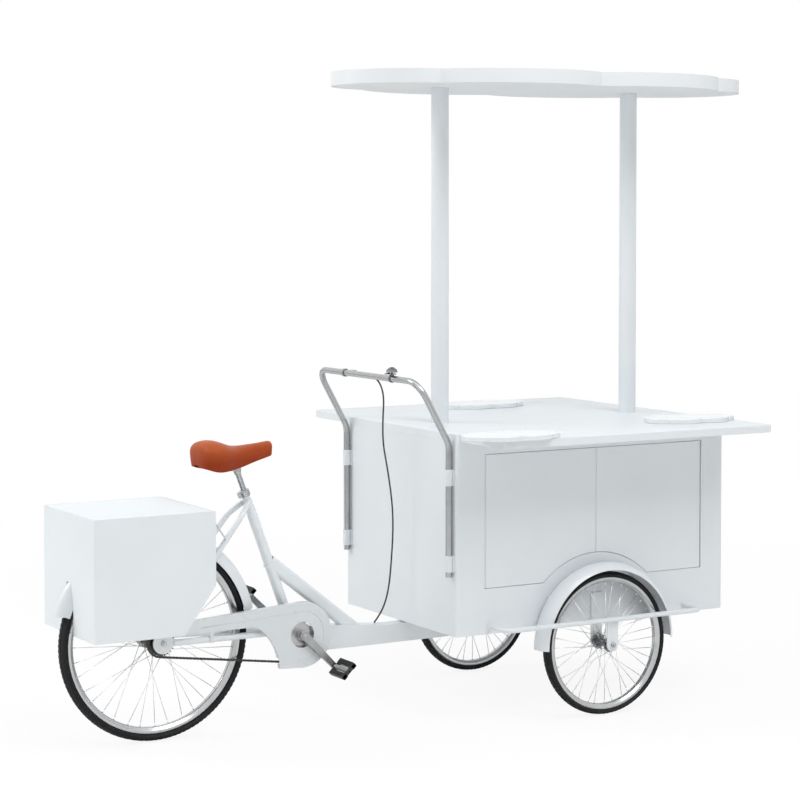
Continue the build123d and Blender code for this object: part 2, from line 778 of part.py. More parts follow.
# Chain stays with their round dropout plates
stay_from = Vector(bb_x - stay_start_x, -stay_start_y, stay_start_z)
stay_to = Vector(rear_x + dropout_r, -dropout_y - dropout_t / 2, stay_end_z)
stay_dir = stay_to - stay_from
with BuildPart() as chain_stays:
    with BuildSketch(Plane(origin=stay_from, x_dir=(0, 0, 1), z_dir=stay_dir)):
        Circle(stay_r)
    extrude(amount=stay_dir.length)
    with BuildSketch(Plane(origin=(rear_x, -dropout_y, rear_r), x_dir=(1, 0, 0), z_dir=(0, -1, 0))):
        Circle(dropout_r)
        with Locations((0, hanger_h / 2)):
            Rectangle(hanger_w, hanger_h)
        with Locations((dropout_tab_l / 2, 0)):
            Rectangle(dropout_tab_l, dropout_tab_h)
        Circle(axle_r + run_fit, mode=Mode.SUBTRACT)
    extrude(amount=dropout_t)
    with Locations((bb_x, 0, bb_z)):
        Cylinder(shell_r, 4 * shell_half, rotation=(90, 0, 0), mode=Mode.SUBTRACT)
    mirror(about=Plane.XZ)
chain_stays.part.label = "chain_stays"
export_step(chain_stays.part, "parts/chain_stays.step")

# Seat stays from the top of the seat tube to the dropouts
stay_top = seat_plane.offset(seat_tube_l - stay_top_down).origin + Vector(stay_top_ahead, -stay_top_y, 0)
stay_bend = Vector(stay_top.X - stay_bend_back, -stay_bend_y, stay_top.Z - stay_bend_down)
stay_foot = Vector(rear_x + stay_foot_x, -dropout_y - dropout_t / 2, stay_foot_z)
with BuildPart() as seat_stays:
    with BuildLine():
        FilletPolyline(stay_top, stay_bend, stay_foot, radius=stay_bend_r)
    with BuildSketch(Plane(origin=stay_top, z_dir=stay_bend - stay_top)):
        RegularPolygon(seat_stay_r, tube_sides)
    sweep()
    add(chain_stays.part, mode=Mode.SUBTRACT)
    with Locations(seat_plane):
        Cylinder(
            seat_tube_r,
            seat_tube_l,
            align=(Align.CENTER, Align.CENTER, Align.MIN),
            mode=Mode.SUBTRACT,
        )
    mirror(about=Plane.XZ)
seat_stays.part.label = "seat_stays"
export_step(seat_stays.part, "parts/seat_stays.step")

with BuildPart() as rear_axle:
    with Locations((rear_x, 0, rear_r)):
        Cylinder(axle_r, 2 * (dropout_y + dropout_t + nut_t + 4), rotation=(90, 0, 0))
    with BuildSketch(Plane(origin=(rear_x, -dropout_y - dropout_t, rear_r), z_dir=(0, -1, 0))):
        RegularPolygon(nut_flat, 6, major_radius=False)
    extrude(amount=nut_t)
    with BuildSketch(Plane(origin=(rear_x, dropout_y + dropout_t, rear_r), z_dir=(0, 1, 0))):
        RegularPolygon(nut_flat, 6, major_radius=False)
    extrude(amount=nut_t)
rear_axle.part.label = "rear_axle"
export_step(rear_axle.part, "parts/rear_axle.step")

# Rear fender with lugs that reach the seat stays
rear_low_r = rear_fender_r - rear_fender_drop
lug_r = rear_low_r + 6
stay_off = Vector(stay_foot.X - rear_x, 0, stay_foot.Z - rear_r)
stay_rise = Vector(stay_bend.X - stay_foot.X, 0, stay_bend.Z - stay_foot.Z).normalized()
along_rise = stay_off.dot(stay_rise)
lug_up = sqrt(along_rise**2 - stay_off.length**2 + lug_r**2) - along_rise
lug_at = stay_off + stay_rise * lug_up
with BuildPart() as rear_fender:
    nose = radians(rear_fender_nose)
    nose_out = Vector(cos(nose), 0, sin(nose))
    nose_up = Vector(-sin(nose), 0, cos(nose))
    with BuildSketch(Plane(origin=(rear_x, 0, rear_r), x_dir=nose_out, z_dir=nose_up)):
        with BuildLine():
            Polyline(
                (rear_low_r, rear_fender_half),
                (rear_fender_r, rear_fender_flat),
                (rear_fender_r, -rear_fender_flat),
                (rear_low_r, -rear_fender_half),
                (rear_low_r, -rear_fender_half + fender_t),
                (rear_fender_r - fender_t, -rear_fender_flat + fender_t / 2),
                (rear_fender_r - fender_t, rear_fender_flat - fender_t / 2),
                (rear_low_r, rear_fender_half - fender_t),
                close=True,
            )
        make_face()
    revolve(
        axis=Axis((rear_x, 0, rear_r), (0, -1, 0)),
        revolution_arc=rear_fender_tail - rear_fender_nose,
    )
    for lug_hand in (-1, 1):
        with Locations((rear_x + lug_at.X, lug_hand * (rear_fender_half + 7), rear_r + lug_at.Z)):
            Box(14, 22, 14)
    add(seat_stays.part, mode=Mode.SUBTRACT)
rear_fender.part.label = "rear_fender"
export_step(rear_fender.part, "parts/rear_fender.step")

# Wheels: tyre, rim, tangentially laced spokes and hub, in the plane of each axle
front_hub = (
    (9, front_hub_half),
    (27, 34),
    (14, 30),
    (14, -30),
    (27, -34),
    (9, -front_hub_half),
)
rear_hub = (
    (9, rear_hub_half),
    (34, 40),
    (18, 35),
    (18, -35),
    (34, -40),
    (16, -44),
    (16, -62),
    (9, -rear_hub_half),
)
front_tyre = (19.0, tyre_half)    # height over the rim and half width
rear_tyre = (25.7, 26.0)
front_rim_deep = 18.0
rear_rim_deep = 20.0
wheels = (
    ("front_right", (front_x, -front_y, front_r), front_r, front_tyre, front_rim_deep, front_hub, 27, 34),
    ("front_left", (front_x, front_y, front_r), front_r, front_tyre, front_rim_deep, front_hub, 27, 34),
    ("rear", (rear_x, 0, rear_r), rear_r, rear_tyre, rear_rim_deep, rear_hub, 34, 39.7),
)
spoke_t = 1.8
spokes = 36
lace = radians(60)
for wheel_name, centre, tyre_r, (tyre_deep, tyre_side), rim_deep, hub_line, flange_r, flange_at in wheels:
    section = Plane(origin=centre, x_dir=(1, 0, 0), z_dir=(0, 0, 1))
    axle = Axis(centre, (0, 1, 0))
    rim_r = tyre_r - tyre_deep - lie_gap
    with BuildPart() as tyre:
        with BuildSketch(section):
            with BuildLine():
                Polyline(
                    (tyre_r - tyre_deep, 14),
                    (tyre_r - 10, tyre_side),
                    (tyre_r, 9),
                    (tyre_r, -9),
                    (tyre_r - 10, -tyre_side),
                    (tyre_r - tyre_deep, -14),
                    close=True,
                )
            make_face()
        revolve(axis=axle)
    tyre.part.label = f"{wheel_name}_tyre"
    export_step(tyre.part, f"parts/{wheel_name}_tyre.step")
    with BuildPart() as rim:
        with BuildSketch(section):
            with BuildLine():
                Polyline((rim_r, 15), (rim_r, -15), (rim_r - rim_deep, -9), (rim_r - rim_deep, 9), close=True)
            make_face()
        revolve(axis=axle)
    rim.part.label = f"{wheel_name}_rim"
    export_step(rim.part, f"parts/{wheel_name}_rim.step")
    with BuildPart() as four_spokes:
        for side in (1, -1):
            for lead in (1, -1):
                hub_turn = radians(10 * (side < 0) + 20 * (lead < 0))
                rim_turn = hub_turn + lead * lace
                hub_end = Vector(
                    (flange_r - 7) * cos(hub_turn),
                    (flange_r - 7) * sin(hub_turn),
                    side * (flange_at + 1.6 * lead),
                )
                rim_end = Vector(
                    (rim_r - rim_deep - lie_gap) * cos(rim_turn),
                    (rim_r - rim_deep - lie_gap) * sin(rim_turn),
                    side * (4 + 1.6 * lead),
                )
                run = rim_end - hub_end
                with BuildSketch(Plane(origin=hub_end, z_dir=run)):
                    Rectangle(spoke_t, spoke_t)
                extrude(amount=run.length)
    wheel_plane = Plane(origin=centre, x_dir=(1, 0, 0), z_dir=(0, 1, 0))
    with BuildPart(wheel_plane) as hub:
        with PolarLocations(0, spokes // 4):
            add(four_spokes.part)
        with BuildSketch(section):
            with BuildLine():
                Polyline(
                    (axle_r + run_fit, hub_line[0][1]),
                    *hub_line,
                    (axle_r + run_fit, hub_line[-1][1]),
                    close=True,
                )
            make_face()
        revolve(axis=axle)
    hub.part.label = f"{wheel_name}_hub"
    export_step(hub.part, f"parts/{wheel_name}_hub.step")

# Chain path: round the front of the chainring, back below, round the sprocket, forward above
run_x = bb_x - rear_x
run_z = bb_z - rear_r
centres = hypot(run_x, run_z)
lean = atan2(run_z, run_x)
wrap = acos((ring_r - sprocket_r) / centres)
free_run = sqrt(centres**2 - (ring_r - sprocket_r) ** 2)
ring_arc = 2 * (pi - wrap)
sprocket_arc = 2 * wrap
chain_l = 2 * free_run + ring_arc * ring_r + sprocket_arc * sprocket_r
links = 2 * round(chain_l / pitch / 2)
step = chain_l / links


def chain_point(along):
    """Point of the chain's centre line, starting where the upper run meets the chainring."""
    along = along % chain_l
    ring_start = lean + pi - wrap
    if along <= ring_arc * ring_r:
        turn = ring_start - along / ring_r
        return Vector(bb_x + ring_r * cos(turn), chain_y, bb_z + ring_r * sin(turn))
    along = along - ring_arc * ring_r
    low_turn = ring_start - ring_arc
    ring_low = Vector(bb_x + ring_r * cos(low_turn), chain_y, bb_z + ring_r * sin(low_turn))
    sprocket_low = Vector(rear_x + sprocket_r * cos(low_turn), chain_y, rear_r + sprocket_r * sin(low_turn))
    if along <= free_run:
        return ring_low + (sprocket_low - ring_low) * (along / free_run)
    along = along - free_run
    if along <= sprocket_arc * sprocket_r:
        turn = low_turn - along / sprocket_r
        return Vector(rear_x + sprocket_r * cos(turn), chain_y, rear_r + sprocket_r * sin(turn))
    along = along - sprocket_arc * sprocket_r
    sprocket_high = Vector(rear_x + sprocket_r * cos(ring_start), chain_y, rear_r + sprocket_r * sin(ring_start))
    ring_high = Vector(bb_x + ring_r * cos(ring_start), chain_y, bb_z + ring_r * sin(ring_start))
    return sprocket_high + (ring_high - sprocket_high) * (along / free_run)


link_places = []
for link in range(links):
    pin_a = chain_point(link * step)
    pin_b = chain_point((link + 1) * step)
    middle = (pin_a + pin_b) * 0.5
    tilt = degrees(atan2(pin_b.Z - pin_a.Z, pin_b.X - pin_a.X))
    link_places.append((middle, tilt))

with BuildPart() as chain:
    for side in (-1, 1):
        inner = [Location(m + Vector(0, side * inner_off, 0), (0, -t, 0)) for m, t in link_places[0::2]]
        with Locations(*inner):
            Box(pitch + 7, link_t, link_h)
        outer = [Location(m + Vector(0, side * outer_off, 0), (0, -t, 0)) for m, t in link_places[1::2]]
        with Locations(*outer):
            Box(pitch + 7, link_t, link_h)
chain.part.label = "chain"
export_step(chain.part, "parts/chain.step")

# Toothed wheels: the gap of a tooth lies at the first chain pin on each
ring_first = lean + pi - wrap
sprocket_meet = ring_arc * ring_r + free_run
sprocket_first = lean + pi + wrap - (ceil(sprocket_meet / step) * step - sprocket_meet) / sprocket_r


def tooth_outline(teeth, radius, gap_turn):
    """Corners of a toothed wheel whose tooth gaps start at gap_turn."""
    corners = []
    for tooth in range(teeth):
        middle = gap_turn + (tooth + 0.5) * 2 * pi / teeth
        for reach, half in ((-4.4, 3.0), (3.2, 0), (-4.4, -3.0)):
            turn = middle - half / radius
            corners.append(((radius + reach) * cos(turn), (radius + reach) * sin(turn)))
    return corners


boss_r = 19.0
spider_r = 41.0
with BuildPart() as chainring:
    ring_plane = Plane(origin=(bb_x, chain_y + tooth_t / 2, bb_z), x_dir=(1, 0, 0), z_dir=(0, -1, 0))
    with BuildSketch(ring_plane):
        with BuildLine():
            Polyline(*tooth_outline(ring_teeth, ring_r, ring_first), close=True)
        make_face()
        Circle(ring_r - 17, mode=Mode.SUBTRACT)
        Circle(spider_r)
        with PolarLocations(0.6 * ring_r, 5):
            Rectangle(0.75 * ring_r, 16)
    extrude(amount=tooth_t)
    with BuildSketch(Plane(origin=(bb_x, -shell_half - 3, bb_z), z_dir=(0, -1, 0))):
        Circle(boss_r)
    extrude(amount=crank_y - shell_half - 3)
    with Locations((bb_x, 0, bb_z)):
        Cylinder(spindle_r + run_fit, 300, rotation=(90, 0, 0), mode=Mode.SUBTRACT)
chainring.part.label = "chainring"
export_step(chainring.part, "parts/chainring.step")

with BuildPart() as sprocket:
    with BuildSketch(Plane(origin=(rear_x, chain_y + tooth_t / 2, rear_r), x_dir=(1, 0, 0), z_dir=(0, -1, 0))):
        with BuildLine():
            Polyline(*tooth_outline(sprocket_teeth, sprocket_r, sprocket_first), close=True)
        make_face()
        Circle(16 + lie_gap, mode=Mode.SUBTRACT)
    extrude(amount=tooth_t)
sprocket.part.label = "rear_sprocket"
export_step(sprocket.part, "parts/rear_sprocket.step")

# Crank: spindle, two arms with their pedal spindles
with BuildPart() as spindle:
    with Locations((bb_x, 0, bb_z)):
        Cylinder(spindle_r, 2 * (crank_y + crank_t), rotation=(90, 0, 0))
spindle.part.label = "crank_spindle"
export_step(spindle.part, "parts/crank_spindle.step")

pedal_from = crank_y + crank_t + 4
with BuildPart() as crank_arms:
    for hand in (-1, 1):
        arm_turn = radians(-crank_down if hand < 0 else 180 - crank_down)
        arm_plane = Plane(
            origin=(bb_x, hand * crank_y, bb_z),
            x_dir=(cos(arm_turn), 0, sin(arm_turn)),
            z_dir=(0, hand, 0),
        )
        with BuildSketch(arm_plane):
            Circle(16)
            with Locations((crank_l, 0)):
                Circle(11)
            with BuildLine():
                Polyline((0, 15), (crank_l, 10), (crank_l, -10), (0, -15), close=True)
            make_face()
            Circle(spindle_r + run_fit, mode=Mode.SUBTRACT)
        extrude(amount=crank_t)
        with BuildSketch(arm_plane.offset(crank_t)):
            with Locations((crank_l, 0)):
                Circle(pedal_spindle_r)
        extrude(amount=pedal_w + 4)
crank_arms.part.label = "crank_arms"
export_step(crank_arms.part, "parts/crank_arms.step")

for pedal_name, hand in (("pedal_right", -1), ("pedal_left", 1)):
    arm_turn = radians(-crank_down if hand < 0 else 180 - crank_down)
    pedal_at = (bb_x + crank_l * cos(arm_turn), hand * pedal_from, bb_z + crank_l * sin(arm_turn))
    pedal_turn = radians(pedal_tilt)
    pedal_plane = Plane(origin=pedal_at, x_dir=(cos(pedal_turn), 0, sin(pedal_turn)), z_dir=(0, hand, 0))
    with BuildPart() as pedal:
        with BuildSketch(pedal_plane):
            Rectangle(pedal_l, pedal_t)
        extrude(amount=pedal_w)
        with BuildSketch(pedal_plane.offset(12)):
            with Locations((-(pedal_l / 4 + 2), 0), (pedal_l / 4 + 2, 0)):
                Rectangle(pedal_l / 2 - 18, pedal_t)
        extrude(amount=pedal_w - 24, mode=Mode.SUBTRACT)
        with BuildSketch(pedal_plane):
            Circle(pedal_spindle_r + run_fit)
        extrude(amount=pedal_w, mode=Mode.SUBTRACT)
    pedal.part.label = pedal_name
    export_step(pedal.part, f"parts/{pedal_name}.step")

# Chain case: a tray over the chainring and the upper run, open round the crank
case_r = 113.0
case_t = 2.5
case_out = 15.5          # tray's face outside the chain, its lip inside it
case_in = 1.0
case_arm_l = 436.0       # arm over the upper run, from the bottom bracket
case_arm_high = 84.0
case_arm_low = 40.0
case_top_x = 14.0        # where the arm's upper line meets the round
case_heel_x = 86.0
case_heel_z = 108.0
case_waist_x = 112.0
case_waist_z = 20.0
case_neck_x = 178.0
case_neck_z = 44.0
case_window_r = 44.0
case_gap_x = 97.0        # gap in the heel for the lower run
case_gap_z = 82.0
case_gap_w = 60.0
case_gap_h = 20.0
case_foot_x = 340.0      # foot on the chain stay
case_foot_z = 6.0
case_foot_h = 60.0
case_tab_x = 40.0        # tab to the seat tube
case_tab_z = 102.5
case_tab_w = 14.0
case_tab_l = 46.0
case_tab_t = 5.0
case_face = chain_y - case_out
case_lip = chain_y + case_in
case_plane = Plane(origin=(bb_x, case_lip, bb_z), x_dir=(1, 0, 0), z_dir=(0, -1, 0))
with BuildPart() as chain_case:
    with BuildSketch(case_plane) as case_outline:
        with BuildLine():
            l1 = Line((-case_arm_l, case_arm_high), (-case_top_x, sqrt(case_r**2 - case_top_x**2)))
            a1 = ThreePointArc(l1 @ 1, (case_r, 0), (0, -case_r))
            l2 = Line((0, -case_r), (-case_heel_x, -case_heel_z))
            a2 = ThreePointArc(l2 @ 1, (-case_waist_x, -case_waist_z), (-case_neck_x, case_neck_z))
            l3 = Line(a2 @ 1, (-case_arm_l, case_arm_low))
            l4 = Line(l3 @ 1, l1 @ 0)
        make_face()
    extrude(amount=case_lip - case_face + case_t)
    with BuildSketch(case_plane):
        tray_r = case_r - case_t
        tray_end = -case_arm_l - case_t
        with BuildLine():
            l1 = Line((tray_end, case_arm_high - case_t), (-case_top_x, sqrt(tray_r**2 - case_top_x**2)))
            a1 = ThreePointArc(l1 @ 1, (tray_r, 0), (0, -tray_r))
            l2 = Line((0, -tray_r), (-case_heel_x + case_t, -case_heel_z + case_t))
            tray_waist = (-case_waist_x + case_t, -case_waist_z + case_t)
            a2 = ThreePointArc(l2 @ 1, tray_waist, (-case_neck_x + case_t, case_neck_z + case_t))
            l3 = Line(a2 @ 1, (tray_end, case_arm_low + case_t))
            l4 = Line(l3 @ 1, l1 @ 0)
        make_face()
    extrude(amount=case_lip - case_face, mode=Mode.SUBTRACT)
    with BuildSketch(case_plane):
        Circle(case_window_r)
    extrude(amount=case_arm_l, mode=Mode.SUBTRACT)
    with BuildSketch(case_plane):
        with Locations((-case_gap_x, -case_gap_z)):
            Rectangle(case_gap_w, case_gap_h)
    extrude(amount=case_lip - case_face - case_in, mode=Mode.SUBTRACT)
    with Locations((bb_x - case_foot_x, case_face, bb_z + case_foot_z)):
        Box(case_tab_w, case_t, case_foot_h, align=(Align.CENTER, Align.MAX, Align.MIN))
    with Locations((bb_x - case_tab_x, case_lip - case_in, bb_z + case_tab_z)):
        Box(case_tab_w, case_tab_l, case_tab_t, align=(Align.CENTER, Align.MIN, Align.MIN))
    with Locations(seat_plane):
        Cylinder(
            seat_tube_r,
            seat_tube_l,
            align=(Align.CENTER, Align.CENTER, Align.MIN),
            mode=Mode.SUBTRACT,
        )
    add(chain_stays.part, mode=Mode.SUBTRACT)
chain_case.part.label = "chain_case"
export_step(chain_case.part, "parts/chain_case.step")

# Rear box: two side pods joined above the wheel, open at the top
lid_low = rbox_top - lid_step
lid_pivot_x = rbox_back + lid_rim + seam + lid_t / 2
lid_pivot_z = rbox_top - lid_t / 2
with BuildPart() as rear_box:
    with BuildSketch(Plane.XZ):
        with BuildLine():
            Polyline(
                (rbox_back, rbox_low),
                (rbox_front - rbox_cut_x, rbox_low),
                (rbox_front, rbox_low + rbox_cut_z),
                (rbox_front, rbox_top),
                (rbox_back, rbox_top),
                close=True,
            )
        make_face()
    extrude(amount=rbox_half, both=True)
    for hand in (-1, 1):
        with BuildSketch(Plane.XZ.offset(-hand * (tunnel_half + rbox_wall))):
            with BuildLine():
                Polyline(
                    (rbox_back + rbox_wall, rbox_low + rbox_wall),
                    (rbox_front - rbox_cut_x - 4, rbox_low + rbox_wall),
                    (rbox_front - rbox_wall, rbox_low + rbox_cut_z + 2),
                    (rbox_front - rbox_wall, rbox_top),
                    (rbox_back + rbox_wall, rbox_top),
                    close=True,
                )
            make_face()
        extrude(amount=-hand * (rbox_half - tunnel_half - 2 * rbox_wall), mode=Mode.SUBTRACT)
    with Locations(((rbox_back + rbox_front) / 2, 0, tunnel_top + rbox_wall)):
        Box(
            rbox_front - rbox_back - 2 * rbox_wall,
            2 * (rbox_half - rbox_wall),
            200,
            align=(Align.CENTER, Align.CENTER, Align.MIN),
            mode=Mode.SUBTRACT,
        )
    with Locations(((rbox_back + rbox_front) / 2, 0, lid_low)):
        Box(
            rbox_front - rbox_back - 2 * lid_rim,
            2 * (rbox_half - lid_rim),
            200,
            align=(Align.CENTER, Align.CENTER, Align.MIN),
            mode=Mode.SUBTRACT,
        )
    with Locations((rbox_back + rbox_wall, 0, tunnel_top)):
        Box(600, 2 * tunnel_half, 400, align=(Align.MIN, Align.CENTER, Align.MAX), mode=Mode.SUBTRACT)
    with BuildSketch(Plane(origin=(rear_x, 0, rear_r), x_dir=(-1, 0, 0), z_dir=(0, 0, 1))):
        with BuildLine():
            Polyline(
                (rbox_behind - 2 * rbox_wall, rear_fender_half + slot_gap),
                (rear_low_r + slot_gap, rear_fender_half + slot_gap),
                (rear_fender_r + slot_gap, rear_fender_flat + slot_gap),
                (rear_fender_r + slot_gap, -rear_fender_flat - slot_gap),
                (rear_low_r + slot_gap, -rear_fender_half - slot_gap),
                (rbox_behind - 2 * rbox_wall, -rear_fender_half - slot_gap),
                close=True,
            )
        make_face()
    revolve(axis=Axis((rear_x, 0, rear_r), (0, 1, 0)), revolution_arc=360, mode=Mode.SUBTRACT)
    pad_t = tunnel_half - dropout_y - dropout_t
    with Locations((rear_x, tunnel_half, rbox_low + 30), (rear_x, -tunnel_half + pad_t, rbox_low + 30)):
        Box(36, pad_t, 44, align=(Align.CENTER, Align.MAX, Align.CENTER))
    with Locations((lid_pivot_x, 0, lid_pivot_z)):
        Cylinder(lid_pin_r + run_fit, 2 * rbox_half - 2, rotation=(90, 0, 0), mode=Mode.SUBTRACT)
rear_box.part.label = "rear_box"
export_step(rear_box.part, "parts/rear_box.step")

lid_l = rbox_front - rbox_back - 2 * lid_rim - 2 * seam
lid_w = 2 * (rbox_half - lid_rim - seam)
with BuildPart() as lid:
    with Locations(((rbox_back + rbox_front) / 2, 0, lid_low + lid_gap)):
        Box(lid_l, lid_w, lid_t, align=(Align.CENTER, Align.CENTER, Align.MIN))
    fillet(lid.edges().filter_by(Axis.Y).group_by(Axis.X)[0], lid_t / 2 - 0.1)
    for hand in (-1, 1):
        with Locations((lid_pivot_x, hand * lid_w / 2, lid_pivot_z)):
            Cylinder(lid_pin_r + run_fit, 2 * pin_reach, rotation=(90, 0, 0), mode=Mode.SUBTRACT)
lid.part.label = "rear_box_lid"
export_step(lid.part, "parts/rear_box_lid.step")

lid_pin_at = (lid_pivot_x, -rbox_half + seam, lid_pivot_z)
with BuildPart() as lid_pins:
    with BuildSketch(Plane(origin=lid_pin_at, z_dir=(0, 1, 0))):
        RegularPolygon(lid_pin_r, cord_sides)
    extrude(amount=16)
    mirror(about=Plane.XZ)
lid_pins.part.label = "lid_pins"
export_step(lid_pins.part, "parts/lid_pins.step")

# Thin struts from the seat stays to the rear box's front wall
strut_from = stay_bend + (stay_foot - stay_bend).normalized() * strut_down
strut_to = Vector(rbox_front, -strut_high_y, strut_high_z)
strut_dir = strut_to - strut_from
with BuildPart() as struts:
    with BuildSketch(Plane(origin=strut_from, z_dir=strut_dir)):
        RegularPolygon(strut_r, cord_sides)
    extrude(amount=strut_dir.length + 4 * strut_r)
    with Locations((rbox_front, 0, strut_high_z)):
        Box(
            rbox_half,
            4 * rbox_half,
            rbox_half,
            align=(Align.MAX, Align.CENTER, Align.CENTER),
            mode=Mode.SUBTRACT,
        )
    add(seat_stays.part, mode=Mode.SUBTRACT)
    mirror(about=Plane.XZ)
struts.part.label = "box_struts"
export_step(struts.part, "parts/box_struts.step")

# Saddle, set out from the top of its post: crowned, wide at the back and narrow at the nose
saddle_seat = seat_plane.offset(seat_post_high).origin
saddle_sections = (
    (-148, 76, 102, 32),
    (-95, 88, 108, 6),
    (-20, 58, 86, 12),
    (60, 32, 89, 31),
    (127, 22, 97, 48),
)
with BuildPart() as saddle:
    for at, half, high, low in saddle_sections:
        crown = 0.25 * half + 5
        with BuildSketch(Plane(origin=saddle_seat + Vector(at, 0, 0), x_dir=(0, 1, 0), z_dir=(1, 0, 0))):
            with BuildLine():
                Polyline(
                    (0.45 * half, high),
                    (0.88 * half, high - 0.5 * crown),
                    (half, high - 1.4 * crown),
                    (0.78 * half, low),
                    (-0.78 * half, low),
                    (-half, high - 1.4 * crown),
                    (-0.88 * half, high - 0.5 * crown),
                    (-0.45 * half, high),
                    close=True,
                )
            make_face()
    loft(ruled=True)
saddle.part.label = "saddle"
export_step(saddle.part, "parts/saddle.step")

# Seat post and the clamps at its two ends
with BuildPart() as seat_post:
    with BuildSketch(seat_plane.offset(seat_post_low)):
        Circle(post_seat_r)
        Circle(post_seat_r - 2, mode=Mode.SUBTRACT)
    extrude(amount=seat_post_high - seat_post_low)
seat_post.part.label = "seat_post"
export_step(seat_post.part, "parts/seat_post.step")

with BuildPart() as saddle_clamp:
    with BuildSketch(seat_plane.offset(seat_post_high - saddle_grip)):
        RegularPolygon(saddle_grip_r, tube_sides)
    extrude(amount=2 * saddle_grip)
    with Locations(saddle_seat + Vector(-saddle_grip, 0, 1)):
        Box(4 * saddle_grip, 2 * saddle_grip_r, saddle_grip, align=(Align.CENTER, Align.CENTER, Align.MIN))
    with BuildSketch(seat_plane.offset(seat_post_low)):
        Circle(post_seat_r + run_fit)
    extrude(amount=seat_post_high - seat_post_low, mode=Mode.SUBTRACT)
    add(saddle.part, mode=Mode.SUBTRACT)
saddle_clamp.part.label = "saddle_clamp"
export_step(saddle_clamp.part, "parts/saddle_clamp.step")

collar_h = 20.0
with BuildPart() as seat_clamp:
    with BuildSketch(seat_plane.offset(seat_tube_l - collar_h)):
        RegularPolygon(seat_tube_top_r + 3.5, tube_sides)
        with Locations((0, seat_tube_top_r + 6)):
            Rectangle(11, 11)
        Circle(seat_tube_top_r + lie_gap, mode=Mode.SUBTRACT)
    extrude(amount=collar_h)
    bolt_at = seat_plane.offset(seat_tube_l - collar_h / 2).from_local_coords((-11, seat_tube_top_r + 8, 0))
    with BuildSketch(Plane(origin=bolt_at, z_dir=(0, 1, 0))):
        RegularPolygon(3, cord_sides)
    extrude(amount=22)
seat_clamp.part.label = "seat_clamp"
export_step(seat_clamp.part, "parts/seat_clamp.step")

# Brake cable: hangs in a long bow from the perch to the stop on the beam
cable_r = 3.0
cable_points = (
    (23, 134.7, 1181),
    (23, 85, 1181.5),
    (22, 10, 1181),
    (17, -62, 1170),
    (15, -101, 1120),
    (25, -74, 1035),
    (39, -50, 950),
    (52, -58, 865),
    (61, -68, 780),
    (68, -70, 700),
    (73, -60, 618),
    (70, -55, 537),
    (64, -53, 460),
    (52, -48, 395),
    (39, -28, 345),
    (32, -1, boss_low + stop_h + 2.6),
)
route = [Vector(grip_x + x, y, z) for x, y, z in cable_points]
bends = []
for before, at, after in zip(route, route[1:], route[2:]):
    turn = radians((at - before).get_angle(after - at))
    shorter = min((at - before).length, (after - at).length)
    bends.append(0.45 * shorter / tan(turn / 2))
with BuildPart() as cable:
    with BuildLine() as cable_line:
        FilletPolyline(*route, radius=bends)
    with BuildSketch(Plane(origin=route[0], z_dir=route[1] - route[0])):
        RegularPolygon(cable_r, cord_sides)
    sweep()
cable.part.label = "brake_cable"
export_step(cable.part, "parts/brake_cable.step")
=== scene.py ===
import json
from math import acos, atan2, cos, hypot, pi, radians, sin, sqrt

import bmesh
import bpy
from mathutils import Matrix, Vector


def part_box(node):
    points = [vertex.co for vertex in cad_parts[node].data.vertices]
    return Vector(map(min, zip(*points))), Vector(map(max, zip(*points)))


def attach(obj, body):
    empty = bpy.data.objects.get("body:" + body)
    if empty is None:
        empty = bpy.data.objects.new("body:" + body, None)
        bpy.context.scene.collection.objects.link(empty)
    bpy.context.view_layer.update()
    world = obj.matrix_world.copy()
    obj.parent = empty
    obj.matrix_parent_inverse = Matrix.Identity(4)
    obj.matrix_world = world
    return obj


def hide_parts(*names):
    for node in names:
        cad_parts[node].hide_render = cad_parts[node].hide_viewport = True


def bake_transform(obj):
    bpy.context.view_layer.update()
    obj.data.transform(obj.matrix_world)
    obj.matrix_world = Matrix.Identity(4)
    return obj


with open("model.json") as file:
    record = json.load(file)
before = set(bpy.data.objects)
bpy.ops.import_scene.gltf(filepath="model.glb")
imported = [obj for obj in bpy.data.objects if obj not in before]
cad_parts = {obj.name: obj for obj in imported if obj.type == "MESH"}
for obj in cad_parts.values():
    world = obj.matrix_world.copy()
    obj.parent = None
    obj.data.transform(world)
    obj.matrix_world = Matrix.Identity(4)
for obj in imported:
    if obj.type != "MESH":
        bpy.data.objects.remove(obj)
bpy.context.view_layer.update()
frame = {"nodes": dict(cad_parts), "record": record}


# Cart box, floor and shelf: 18 mm board, sprayed white, glued into a tub whose upright
# corners are rounded. The floor and the shelf sit inside the walls.
body_under = {n: b for b, names in frame["record"]["behaviour"]["bodies"].items() for n in names}


def show(piece_name, mesh, finish, *nodes):
    """A new piece made from a bmesh with the given finish, on the body of the first of these CAD nodes."""
    data = bpy.data.meshes.new(piece_name)
    mesh.to_mesh(data)
    mesh.free()
    data.materials.append(finish)
    piece = bpy.data.objects.new(piece_name, data)
    bpy.context.scene.collection.objects.link(piece)
    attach(piece, body_under[nodes[0]])
    return piece


crease = radians(35)    # sharper corners than this are eased
coplanar = radians(0.4)


def eased(node, finish, edge, rings=2):
    """The CAD node with its flat faces joined up, its corners eased by edge and its round faces smooth."""
    mesh = bmesh.new()
    mesh.from_mesh(frame["nodes"][node].data)
    bmesh.ops.remove_doubles(mesh, verts=mesh.verts, dist=1e-6)
    bmesh.ops.dissolve_limit(mesh, angle_limit=coplanar, verts=mesh.verts, edges=mesh.edges)
    for face in mesh.faces:
        face.smooth = True
    piece = show(node + "_eased", mesh, finish, node)
    piece.data.set_sharp_from_angle(angle=crease)
    if edge:
        rounding = piece.modifiers.new("eased_edges", "BEVEL")
        rounding.width = edge
        rounding.segments = rings
        rounding.limit_method = "ANGLE"
        rounding.angle_limit = crease
        rounding.use_clamp_overlap = False
        rounding.harden_normals = True
    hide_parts(node)


